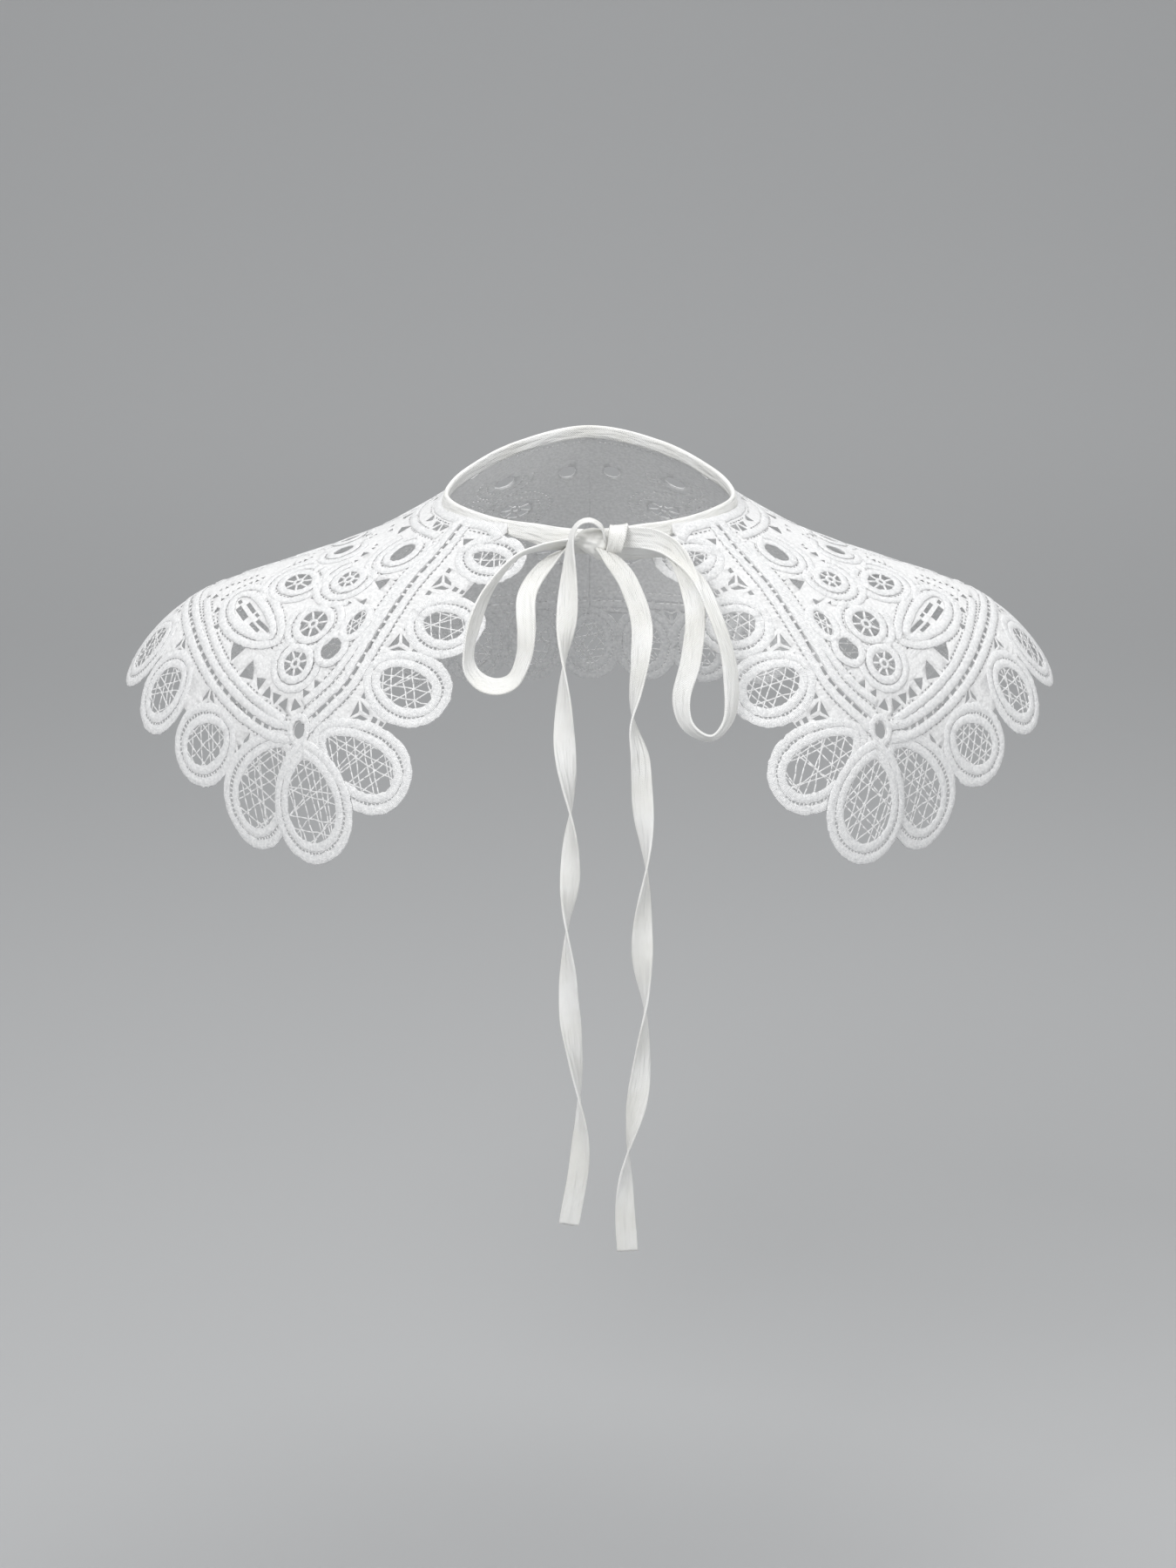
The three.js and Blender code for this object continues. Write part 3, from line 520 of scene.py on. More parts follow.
def petal_outline(petal, inset, count=72):
    """A petal's outline, drawn in from its edge by a margin in millimetres."""
    turn, out, lean, length, width, power, _ = petal
    start = 0.85 * inset
    long = length * COLLAR_DEPTH - start - inset
    half = width * COLLAR_DEPTH / 2 - inset
    angle = 2 * np.pi * np.arange(count) / count
    share = ((1 - np.cos(angle)) / 2) ** (1 / power)
    return lay_around(turn, out, lean, half * np.sin(angle), start + long * share)


def oval(turn, out, lean, half_width, half_height, start=0, end=360, count=48):
    """An oval round a place, or the arc of it from start to end."""
    whole = end - start >= 360
    angle = np.radians(np.linspace(start, end, count, endpoint=not whole))
    return lay_around(turn, out, lean, half_width * np.sin(angle), half_height * np.cos(angle))


def add_open_runs(points, covers, **tape):
    """A closed tape without the stretch that lies under the petals on top."""
    ring = resample(points, 1.7, True)
    hidden = under(ring, covers)
    if not hidden.any():
        add_tape(edge_tapes, ring, closed=True, **tape)
        return
    first = int(np.argmax(hidden))
    order = np.roll(np.arange(len(ring)), -first)
    run = []
    for k in order:
        if hidden[k]:
            if len(run) > 4:
                add_tape(edge_tapes, ring[run], **tape)
            run = []
        else:
            run.append(k)
    if len(run) > 4:
        add_tape(edge_tapes, ring[run], **tape)


def add_net(opening, covers, height, pitch=5.0):
    """Three loose families of crossing threads over an opening."""
    middle = opening.mean(axis=0)
    scale = per_degree(middle[0], max(middle[1], 0))
    local = (opening - middle) * np.array([scale, 1])
    reach = np.abs(local).max() * 1.2
    for lean, spacing in NET_FAMILIES:
        turn_by = math.radians(lean + 6 * rng.standard_normal())
        run = np.array([math.sin(turn_by), math.cos(turn_by)])
        side = np.array([run[1], -run[0]])
        for offset in np.arange(-reach, reach, pitch * spacing):
            start = side * (offset + 0.4 * rng.standard_normal()) - run * reach
            tilt = run + side * 0.07 * rng.standard_normal()
            marks = np.linspace(0, 2 * reach, NET_MARKS)
            line = middle + (start + tilt * marks[:, None]) / np.array([scale, 1])
            within = np.flatnonzero(inside(line, opening))
            if len(within) > 3:
                first = max(within[0] - 1, 0)
                last = min(within[-1] + 1, NET_MARKS - 1)
                add_thread(line[first], line[last], height, covers)


def add_petal(petal, covers):
    """Two closed tapes with a ladder of bars between them and a net inside, on both sides."""
    on_top = petal[6]
    height = TOP_LAYER_HEIGHT if on_top else 0.0
    own = [] if on_top else covers
    outer = petal_outline(petal, TAPE_WIDTH / 2 + 0.1)
    inner = petal_outline(petal, PETAL_RIM - TAPE_WIDTH / 2 + 0.1)
    gap_line = petal_outline(petal, PETAL_RIM / 2)
    for sign in (1, -1):
        flip = np.array([sign, 1])
        hide = [cover * flip for cover in own]
        add_open_runs(outer * flip, hide, height=height)
        add_open_runs(inner * flip, hide, height=height + 0.1)
        ladder = resample(gap_line * flip, 2.3, True)
        shown = ~under(ladder, hide)
        reach = PINHOLE_GAP / 2 + 0.7
        starts = shift_path(ladder, -reach, True)[shown]
        ends = shift_path(ladder, reach, True)[shown]
        add_bars(starts, ends, BAR_WIDTH, BAR_THICKNESS, height)
        add_net(petal_outline(petal, PETAL_RIM - 0.6) * flip, hide, height)
        if petal[0] == 0:
            break


# Holes in the cloth between the tapes, as loops of turn and out on the +X side, each with a middle and reach
ground_holes = []
hole_middles = np.zeros((MOST_HOLES, 3))
hole_reaches = np.zeros(MOST_HOLES)


def ground_outline():
    """The edge of the cloth under the tapes: out to the petals, and between them to where they meet."""
    turns = np.arange(0, 148, 3.0)
    neck = np.stack([turns, np.full_like(turns, 0.4)], axis=-1)
    front = fringe_edge(resample(smooth_path(FRONT_BAND[1:]), 1.6, False), FRONT_WEB_DEPTH)
    side = fringe_edge(resample(smooth_path(SIDE_BAND[1:-1]), 1.6, False), WEB_DEPTH)
    back = fringe_edge(resample(smooth_path(BACK_BAND[1:4]), 1.6, False), WEB_DEPTH)
    lap = np.array([(148.0, 5.0), (146, 9.5), (139, 13.5)])
    front_corner = np.array([(131.5, 139.5), (129.2, 145.5), (125.8, 150)])
    back_corner = np.array([(57, 150), (53.5, 151.5), (50.5, 150)])
    return np.vstack([neck, lap, front, front_corner, side, back_corner, back, [(0, back[-1, 1])]])


def fringe_edge(path, deepest):
    """From a band outwards, as far as the petals' tapes or the depth of the webs."""
    depths = np.arange(5.0, deepest, 0.5)
    normal, scale = across(path, False)
    away = -normal / np.stack([scale, np.ones_like(scale)], axis=-1)
    spots = path[:, None, :] + depths[:, None] * away[:, None, :]
    covered = np.zeros(spots.shape[:2], bool)
    for petal in PETALS + [BACK_PETAL]:
        bed = petal_outline(petal, PETAL_BED, 36)
        covered |= inside(spots.reshape(-1, 2), bed).reshape(covered.shape)
    stops = np.where(covered.any(axis=1), covered.argmax(axis=1), len(depths) - 1)
    return spots[np.arange(len(path)), stops]


def pierce(loop):
    """Adds a hole to the cloth if it is clear of the others and of the edge, and tells whether it did."""
    middle = loop.mean(axis=0)
    place = cloth_points(*middle)
    grown = middle + HOLE_GROWTH * (loop - middle)
    if not inside(grown, GROUND_EDGE).all():
        return False
    reach = np.linalg.norm(cloth_points(*loop.T) - place, axis=-1).max()
    count = len(ground_holes)
    gaps = np.linalg.norm(hole_middles[:count] - place, axis=-1) - hole_reaches[:count]
    for k in np.flatnonzero(gaps < reach + HOLE_MARGIN):
        other_middle = ground_holes[k].mean(axis=0)
        wide = other_middle + OTHER_HOLE_GROWTH * (ground_holes[k] - other_middle)
        if inside(grown, wide).any() or inside(wide, grown).any() or crossing(grown, wide):
            return False
    hole_middles[count] = place
    hole_reaches[count] = reach
    ground_holes.append(loop)
    return True


def crossing(one, two):
    """Whether two closed loops cross."""
    one_ends, two_ends = np.roll(one, -1, axis=0), np.roll(two, -1, axis=0)

    def turn_of(a, b, c):
        ahead, aside = b - a, c - a
        return ahead[..., 0] * aside[..., 1] - ahead[..., 1] * aside[..., 0]

    a, b = one[:, None, :], one_ends[:, None, :]
    c, d = two[None, :, :], two_ends[None, :, :]
    apart = turn_of(a, b, c) * turn_of(a, b, d) < 0
    between = turn_of(c, d, a) * turn_of(c, d, b) < 0
    return (apart & between).any()


slit_paths = []
lattice_paths = []
pinhole_paths = []


def corners_at(point, side, millimetre, corners):
    """Corners given along and across a path, in millimetres, as turn and out round one of its points."""
    run = np.array([side[1], -side[0]])
    steps = [along * run + aside * side for along, aside in corners]
    return point + np.array(steps) / np.array([millimetre, 1])


def pierce_row(path, closed, width=0.95, length=1.8, pitch=2.8, spread=0.3):
    """A row of pinholes along a path."""
    points = resample(path, pitch, closed)
    normal, scale = across(points, closed)
    for point, side, millimetre in zip(points, normal, scale):
        long = length * (1 + spread * rng.uniform(-1, 1)) / 2
        wide = width * (1 + 0.5 * spread * rng.uniform(-1, 1)) / 2
        corners = [(-long, -0.8 * wide), (0.6 * long, -wide), (long, 0.7 * wide), (-0.7 * long, wide)]
        pierce(corners_at(point, side, millimetre, corners))


def pierce_slits(path, width, shortest, longest, bar):
    """A row of slits of uneven length with bars between them."""
    fine = resample(path, SLIT_STEP, False)
    start = 3
    while start < len(fine) - 6:
        steps = int(rng.uniform(shortest, longest) / SLIT_STEP)
        stretch = fine[start:start + steps + 1]
        start += steps + int(bar / SLIT_STEP)
        if len(stretch) < 4:
            continue
        stretch = stretch[:: max(len(stretch) // 4, 1)]
        near = shift_path(stretch, width / 2, False)
        far = shift_path(stretch, -width / 2, False)
        pierce(np.vstack([near, far[::-1]]))


# The holes of a web, in millimetres sideways and outwards: three round a three-armed bar, one on each side of
# it and two further out. Each is shrunk by the sizes in turn until it is clear of the petals.
WEB_HOLES = [
    [(-3.9, -3.4), (3.9, -3.4), (0.5, -0.9), (-0.5, -0.9)],
    [(-4.2, -2.2), (-1.0, 0.4), (-0.8, 4.6), (-2.3, 3.2)],
    [(4.2, -2.2), (2.3, 3.2), (0.8, 4.6), (1.0, 0.4)],
    [(-8.4, -3.2), (-5.6, -3.2), (-5.8, -1.0), (-7.6, -1.0)],
    [(5.6, -3.2), (8.4, -3.2), (7.6, -1.0), (5.8, -1.0)],
    [(-1.3, 6.4), (1.3, 6.4), (1.1, 8.8), (-1.1, 8.8)],
    [(-1.1, 10.4), (1.1, 10.4), (0.9, 12.4), (-0.9, 12.4)],
]
WEB_SIZES = (1.0, 0.86, 0.72, 0.6, 0.48)
# The webs between petals: turn, out, lean and size
WEBS = [
    (135.6, 0.58, 84, 1.15), (136.2, 0.388, 82, 1.2), (136.2, 0.2, 84, 1.1),
    (118.2, 0.785, -46, 1.05), (109.3, 0.775, -32, 1.05), (99.8, 0.77, -20, 1.0), (90, 0.775, 0, 1.0),
    (80.2, 0.77, 20, 1.0), (70.7, 0.775, 32, 1.05), (61.8, 0.785, 46, 1.05),
    (39.5, 0.775, -22, 1.15), (25.8, 0.775, 0, 1.0), (15.5, 0.775, 0, 1.0), (5.2, 0.775, 0, 1.0),
]


def pierce_web(turn, out, lean, size):
    """The holes of one web, each as large as fits."""
    for shape in WEB_HOLES:
        for share in WEB_SIZES:
            middle = np.mean(shape, axis=0)
            corners = size * (middle + share * (np.array(shape) - middle))
            if pierce(lay_around(turn, out, lean, corners[:, 0], corners[:, 1])):
                break


def pierce_lattice(path, size=3.4):
    """A row of small triangles, point up and point down in turn."""
    points = resample(path, size * 0.95, False)
    normal, scale = across(points, False)
    for k, (point, side, millimetre) in enumerate(zip(points, normal, scale)):
        flip = 1 if k % 2 else -1
        base = -0.4 * size * flip
        corners = [(-0.42 * size, base), (0.42 * size, base), (0, 0.42 * size * flip)]
        pierce(corners_at(point, side, millimetre, corners))


def add_both(points, **tape):
    """The same tape on both shoulders."""
    for path in both_sides(points):
        add_tape(panel_tapes, path, **tape)


def add_band(rows, mirrored=True):
    """Two tapes side by side with a row of slits between them and pinholes along both."""
    path = smooth_path(rows)
    shift = (TAPE_WIDTH + BAND_GAP) / 2
    paths = both_sides(path) if mirrored else [path]
    for line in paths:
        add_tape(panel_tapes, shift_path(line, shift, False), height=BAND_HEIGHT)
        add_tape(panel_tapes, shift_path(line, -shift, False), height=BAND_HEIGHT)
    slit_paths.append(path)
    for offset in (-BAND_PINHOLES, BAND_PINHOLES):
        pinhole_paths.append((shift_path(path, offset, False), False))


def add_rosette(turn, out, lean, half_width, half_height, filling):
    """A ring of tape on both shoulders, open or with a wheel or a net inside."""
    clear_width = half_width - RING_INSET
    clear_height = half_height - RING_INSET
    for sign in (1, -1):
        place = (turn * sign, out, lean * sign)
        ring = oval(*place, half_width, half_height)
        add_tape(panel_tapes, ring, width=RING_TAPE_WIDTH, height=RING_HEIGHT, closed=True)
        if filling == "wheel":
            add_wheel(place, clear_width + 0.8, clear_height + 0.8)
        if filling == "net":
            add_net(oval(*place, clear_width + 0.5, clear_height + 0.5), [], 0.3, pitch=3.8)


def add_wheel(place, half_width, half_height):
    """A hub of narrow tape with spokes out to the ring."""
    hub = oval(*place, HUB_RADIUS, HUB_RADIUS)
    add_tape(panel_tapes, hub, width=HUB_TAPE_WIDTH, height=HUB_HEIGHT, closed=True, spacing=1.0)
    angle = np.radians(np.arange(SPOKE_COUNT) * 360 / SPOKE_COUNT + SPOKE_START)
    near = lay_around(*place, SPOKE_ROOT * np.sin(angle), SPOKE_ROOT * np.cos(angle))
    far = lay_around(*place, half_width * np.sin(angle), half_height * np.cos(angle))
    add_bars(near, far, SPOKE_WIDTH, SPOKE_THICKNESS, HUB_HEIGHT)


# The petals on top hide what lies under them
covers = [petal_outline(petal, 2.5) for petal in PETALS if petal[6]]

for petal in PETALS:
    add_petal(petal, covers)
add_petal(BACK_PETAL, [])

GROUND_EDGE = ground_outline()


def back_half(points):
    """The same path on the back half of the shoulder."""
    return np.stack([180 - points[:, 0], points[:, 1]], axis=-1)


def drop_outline(grow):
    """The drop's closed line, grown by a margin in millimetres."""
    angle = 2 * np.pi * np.arange(60) / 60
    share = ((1 - np.cos(angle)) / 2) ** 0.8
    half = (DROP_WIDTH / 2 + grow) * np.sin(angle)
    return lay_around(*DROP_PLACE, DROP_LEAN, half, (share - 0.5) * (DROP_LENGTH + 2 * grow))


def add_shoulder_half(lay):
    """Everything between the bands on one half of a shoulder. lay places it on the front or the back half."""
    backwards = lay is back_half
    for turn, out, lean, half_width, half_height, filling in ROSETTES:
        here = 180 - turn if backwards else turn
        slant = -lean if backwards else lean
        pierce(oval(here, out, slant, half_width - RING_HOLE_INSET, half_height - RING_HOLE_INSET, count=20))
        add_rosette(here, out, slant, half_width, half_height, filling)
    add_drop(lay)
    for turn, out, lean, size in GAPS:
        corners = size * GAP_SHAPE
        pierce(lay(lay_around(turn, out, lean, corners[:, 0], corners[:, 1])))
    for turn, out, lean, half_width, half_height, start, end in SCROLLS:
        arc = oval(turn, out, lean, half_width, half_height, start, end)
        add_both(lay(arc), width=SCROLL_TAPE_WIDTH, height=SCROLL_HEIGHT)
        line = oval(turn, out, lean, half_width - 2.5, half_height - 2.5, start, end)
        pinhole_paths.append((lay(line), False))
    for rows in INNER_LINES:
        path = lay(smooth_path(rows))
        add_both(path, width=RING_TAPE_WIDTH, height=SCROLL_HEIGHT)
        for offset in (-LINE_PINHOLES, LINE_PINHOLES):
            pinhole_paths.append((shift_path(path, offset, False), False))
    for rows in LATTICES:
        lattice_paths.append(lay(smooth_path(rows)))


def add_drop(lay):
    """Two closed tapes round the slots of the drop, and pinholes beside them."""
    add_both(lay(drop_outline(-2.2)), height=DROP_HEIGHT, closed=True)
    add_both(lay(drop_outline(3.4)), height=SCROLL_HEIGHT, closed=True)
    for across_at, along_at, half_wide, half_long in DROP_SLOTS:
        sideways = across_at + half_wide * np.array([-1, 1, 1, -1])
        along = along_at + half_long * np.array([-1, -1, 1, 1])
        pierce(lay(lay_around(*DROP_PLACE, DROP_LEAN, sideways, along)))
    pinhole_paths.append((lay(drop_outline(0.6)), True))
    pinhole_paths.append((lay(drop_outline(6.2)), True))


for turn in CORNER_EYELETS:
    pierce(oval(turn, CORNER_EYELET_OUT, 0, 3.4, 4.2, count=16))
    add_both(oval(turn, CORNER_EYELET_OUT, 0, 5.4, 6.2), width=3.6, height=EYELET_HEIGHT, closed=True)
for web in WEBS:
    pierce_web(*web)
for lay in (np.array, back_half):
    add_shoulder_half(lay)
for turn, out, lean, half_width, half_height, filling in BACK_ROSETTES:
    pierce(oval(turn, out, lean, half_width - RING_HOLE_INSET, half_height - RING_HOLE_INSET, count=24))
    add_rosette(turn, out, lean, half_width, half_height, filling)
for turn, out, lean, half_width, half_height, start, end in BACK_SCROLLS:
    arc = oval(turn, out, lean, half_width, half_height, start, end)
    add_both(arc, width=SCROLL_TAPE_WIDTH, height=SCROLL_HEIGHT)
    for offset in (-2.6, 2.6):
        line = oval(turn, out, lean, half_width + offset, half_height + offset, start, end)
        pinhole_paths.append((line, False))

# The tape along the neck, which runs out a little at its front ends, and the pinholes below it
neck_turns = np.linspace(-146, 146, 200)
neck_line = np.stack([neck_turns, 3.6 + 6.0 * np.clip((np.abs(neck_turns) - 138) / 8, 0, 1) ** 2], axis=-1)
add_tape(panel_tapes, neck_line, width=NECK_LINE_WIDTH, height=NECK_LINE_HEIGHT)
right_turns = np.linspace(4, 143, 100)
pinhole_paths.append((np.stack([right_turns, np.full(100, 7.8)], axis=-1), False))
for rows in (FRONT_BAND, SIDE_BAND, BACK_SEAM_BAND):
    add_band(rows)
add_band(BACK_BAND, mirrored=False)
for path in slit_paths:
    pierce_slits(path, width=1.9, shortest=2.2, longest=6.5, bar=1.4)
for path in lattice_paths:
    pierce_lattice(path)
for path, closed in pinhole_paths:
    pierce_row(path, closed)


def link(name, data):
    """A new object in the scene."""
    made = bpy.data.objects.new(name, data)
    bpy.context.scene.collection.objects.link(made)
    return made


def finish_tapes(name, tape_bm):
    """Closes the tapes' tubes and ends, and drapes them."""
    bmesh.ops.remove_doubles(tape_bm, verts=tape_bm.verts, dist=1e-5)
    open_edges = [edge for edge in tape_bm.edges if edge.is_boundary]
    bmesh.ops.holes_fill(tape_bm, edges=open_edges, sides=TAPE_SIDES)
    bmesh.ops.recalc_face_normals(tape_bm, faces=tape_bm.faces)
    mesh = bpy.data.meshes.new(name)
    tape_bm.to_mesh(mesh)
    tape_bm.free()
    drape_mesh(mesh)
    return link(name, mesh)


def finish_bars():
    """All bars and threads as one arrayed rod, each copy then laid in its place."""
    table = np.array(bars)
    rod_bm = bmesh.new()
    bmesh.ops.create_cone(rod_bm, cap_ends=True, segments=ROD_SIDES, radius1=0.5, radius2=0.5, depth=1)
    mesh = bpy.data.meshes.new("lace_threads")
    rod_bm.to_mesh(mesh)
    rod_bm.free()
    rod = link("lace_threads", mesh)
    array = rod.modifiers.new("copies", "ARRAY")
    array.count = len(table)
    array.use_relative_offset = False
    array.use_constant_offset = True
    array.constant_offset_displace = (0, 0, 0)
    graph = bpy.context.evaluated_depsgraph_get()
    copies = bpy.data.meshes.new_from_object(rod.evaluated_get(graph))
    rod.modifiers.clear()
    rod.data = copies
    flat = np.empty(len(copies.vertices) * 3)
    copies.vertices.foreach_get("co", flat)
    unit = flat.reshape(len(table), -1, 3)
    start, end = table[:, 0:2], table[:, 2:4]
    width, thickness, height = table[:, 4], table[:, 5], table[:, 6]
    middle = (start + end) / 2
    scale = per_degree(middle[:, 0], np.maximum(middle[:, 1], 0))
    run = (end - start) * np.stack([scale, np.ones_like(scale)], axis=-1)
    run /= np.linalg.norm(run, axis=-1, keepdims=True)
    share = unit[:, :, 2] + 0.5
    side = unit[:, :, 0] * width[:, None]
    turn_span, out_span = (end - start).T
    turn = start[:, 0, None] + share * turn_span[:, None] - side * run[:, 1, None] / scale[:, None]
    out = start[:, 1, None] + share * out_span[:, None] + side * run[:, 0, None]
    lift = height[:, None] + unit[:, :, 1] * thickness[:, None]
    copies.vertices.foreach_set("co", np.stack([turn, out, lift], axis=-1).ravel())
    drape_mesh(copies)
    return rod


def finish_ground():
    """The cloth between the tapes: a filled outline with its holes, made once and laid on both sides."""
    sheet = bpy.data.curves.new("lace_ground", "CURVE")
    sheet.dimensions = "2D"
    sheet.fill_mode = "BOTH"
    sheet.extrude = GROUND_THICKNESS / 2
    for loop in [GROUND_EDGE] + ground_holes:
        spline = sheet.splines.new("POLY")
        spline.points.add(len(loop) - 1)
        for point, (turn, out) in zip(spline.points, loop):
            point.co = (turn * STRIP_SCALE, out, 0, 1)
        spline.use_cyclic_u = True
    shape = link("lace_ground_outline", sheet)
    graph = bpy.context.evaluated_depsgraph_get()
    mesh = bpy.data.meshes.new_from_object(shape.evaluated_get(graph))
    bpy.data.objects.remove(shape)
    ground = bmesh.new()
    ground.from_mesh(mesh)
    bmesh.ops.remove_doubles(ground, verts=ground.verts, dist=1e-4)
    # The cuts lie a little off whole millimetres, clear of the outline's own points
    for along in np.arange(GROUND_CELL, 153 * STRIP_SCALE, GROUND_CELL):
        cut(ground, (along + 0.3, 0, 0), (1, 0, 0))
    for away in np.arange(GROUND_CELL, 170, GROUND_CELL):
        cut(ground, (0, away + 0.2, 0), (0, 1, 0))
    for vert in ground.verts:
        vert.co.x = max(vert.co.x, BACK_SEAM_GAP / 2)
    halves = []
    for name, side in (("lace_ground_right", 1), ("lace_ground_left", -1)):
        half = ground.copy()
        bmesh.ops.scale(half, vec=(side / STRIP_SCALE, 1, 1), verts=half.verts)
        bmesh.ops.recalc_face_normals(half, faces=half.faces)
        mesh = bpy.data.meshes.new(name)
        half.to_mesh(mesh)
        half.free()
        drape_mesh(mesh)
        halves.append(link(name, mesh))
    ground.free()
    return halves


def cut(sheet_bm, point, direction):
    """Cuts a sheet along a plane and keeps both sides."""
    geometry = sheet_bm.verts[:] + sheet_bm.edges[:] + sheet_bm.faces[:]
    bmesh.ops.bisect_plane(sheet_bm, geom=geometry, dist=1e-5, plane_co=point, plane_no=direction)


def node_material(name, colour, roughness, sheen=0.25):
    """A plain cloth material, with its nodes, links and shader."""
    made = bpy.data.materials.new(name)
    made.use_nodes = True
    nodes, links = made.node_tree.nodes, made.node_tree.links
    shader = nodes["Principled BSDF"]
    shader.inputs["Base Color"].default_value = (*colour, 1)
    shader.inputs["Roughness"].default_value = roughness
    shader.inputs["Sheen Weight"].default_value = sheen
    shader.inputs["Sheen Roughness"].default_value = 0.6
    return made, nodes, links, shader


def noise(nodes, links, vector, scale, detail):
    """A cloudy value over the cloth."""
    cloud = nodes.new("ShaderNodeTexNoise")
    cloud.inputs["Scale"].default_value = scale
    cloud.inputs["Detail"].default_value = detail
    links.new(vector, cloud.inputs["Vector"])
    return cloud.outputs["Fac"]


def ribs(nodes, links, vector, direction, scale, distortion, detail_scale=1.0):
    """Slightly uneven ribs across one direction of the weave."""
    wave = nodes.new("ShaderNodeTexWave")
    wave.bands_direction = direction
    wave.inputs["Scale"].default_value = scale
    wave.inputs["Distortion"].default_value = distortion
    wave.inputs["Detail Scale"].default_value = detail_scale
    links.new(vector, wave.inputs["Vector"])
    return wave.outputs["Fac"]


def bump(nodes, links, height, strength, distance, under_it=None):
    """The normal of a fine relief, laid over another one if it is given."""
    relief = nodes.new("ShaderNodeBump")
    relief.inputs["Strength"].default_value = strength
    relief.inputs["Distance"].default_value = distance
    links.new(height, relief.inputs["Height"])
    if under_it is not None:
        links.new(under_it, relief.inputs["Normal"])
    return relief.outputs["Normal"]


def object_place(nodes):
    return nodes.new("ShaderNodeTexCoord").outputs["Object"]


def weave_place(nodes):
    """Millimetres along and across the tape."""
    weave = nodes.new("ShaderNodeAttribute")
    weave.attribute_name = "weave"
    return weave.outputs["Vector"]


def tinted(nodes, links, shader, scale, light, dark):
    """Slight cloudy colour changes over the cloth."""
    ramp = nodes.new("ShaderNodeValToRGB")
    for element, colour, position in zip(ramp.color_ramp.elements, (dark, light), (0.35, 0.65)):
        element.color = (*colour, 1)
        element.position = position
    links.new(noise(nodes, links, object_place(nodes), scale, 3), ramp.inputs["Fac"])
    links.new(ramp.outputs["Color"], shader.inputs["Base Color"])


def cotton_tape_material():
    """Bleached cotton tape: ribs across the tape, fine threads along it, and a fuzz."""
    made, nodes, links, shader = node_material("bleached_cotton_tape", (0.88, 0.88, 0.88), 0.9)
    tinted(nodes, links, shader, 650, (0.91, 0.91, 0.91), (0.76, 0.765, 0.77))
    weave = weave_place(nodes)
    both = nodes.new("ShaderNodeMath")
    both.operation = "ADD"
    links.new(ribs(nodes, links, weave, "X", 0.42, 0.6, 2.0), both.inputs[0])
    links.new(ribs(nodes, links, weave, "Y", 0.55, 0.4), both.inputs[1])
    fuzz = bump(nodes, links, noise(nodes, links, object_place(nodes), 900, 3), 0.8, 0.0008)
    woven = bump(nodes, links, both.outputs["Value"], 0.5, 0.0003, fuzz)
    links.new(woven, shader.inputs["Normal"])
    return made


def cotton_thread_material(name, colour, scale):
    """Bleached cotton thread and net: a fine nap."""
    made, nodes, links, shader = node_material(name, colour, 0.92)
    tinted(nodes, links, shader, 600, colour, tuple(0.86 * part for part in colour))
    nap = bump(nodes, links, noise(nodes, links, object_place(nodes), scale, 4), 0.8, 0.0006)
    links.new(nap, shader.inputs["Normal"])
    return made


tape_material = cotton_tape_material()
thread_material = cotton_thread_material("bleached_cotton_thread", (0.87, 0.87, 0.87), 1500)
ground_material = cotton_thread_material("fine_cotton_ground", (0.8, 0.8, 0.8), 800)

lace_tapes = finish_tapes("lace_tapes", panel_tapes)
petal_tapes = finish_tapes("petal_tapes", edge_tapes)
lace_threads = finish_bars()
lace_grounds = finish_ground()
lace_materials = [tape_material, tape_material, thread_material, ground_material, ground_material]
for piece, material in zip([lace_tapes, petal_tapes, lace_threads, *lace_grounds], lace_materials):
    piece.data.materials.append(material)
    piece.data.shade_smooth()
    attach(piece, "root")
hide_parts("lace_collar")


# The knot, the loops' spread and the chest's reach, as in the CAD, in millimetres
KNOT_CENTRE = np.array([5.0, -74.0, -22.0])
LOOP_SPREAD = 60.0
CHEST_REACH = 54.0
# The wrap and the fold of the knot: the middle and the reach of each, sideways, to the front and up
WRAP_CENTRE = (12.6, KNOT_CENTRE[1] - 0.8, KNOT_CENTRE[2] + 1.2)
WRAP_REACH = (1.4, 6.4, 6.6)
WRAP_WIDTH = 8.0
WRAP_THICKNESS = 1.7
WRAP_STEPS = 64
FOLD_CENTRE = (1.6, KNOT_CENTRE[1] - 1.6, KNOT_CENTRE[2] + 0.4)
FOLD_REACH = (9.0, 5.6, 6.4)
# Ribbon routes from the middle of the knot, as in the CAD. Each is the drop of the ribbon in millimetres and
# its rows: the share of the drop, the side and the front as shares of the spread and the reach, and the face
# and the tip of the broad side in degrees.
LEFT_LOOP = (66, [
    (0.02, -0.06, 0.03, 90, 50), (0.015, -0.2, 0.06, 90, 34), (0.03, -0.4, 0.1, 94, 22),
    (0.1, -0.6, 0.18, 102, 12), (0.31, -0.81, 0.37, 118, -2), (0.56, -0.93, 0.56, 124, -10),
    (0.78, -0.96, 0.65, 112, -24), (0.9, -0.88, 0.7, 100, -38), (0.94, -0.74, 0.74, 90, -44),
    (0.89, -0.6, 0.74, 74, -30), (0.73, -0.52, 0.7, 46, -12), (0.56, -0.5, 0.63, 28, 0),
    (0.33, -0.5, 0.42, 26, 0), (0.17, -0.38, 0.2, 22, 4), (0.06, -0.2, -0.01, 30, 30),
    (0.05, -0.02, -0.05, 50, 50),
])
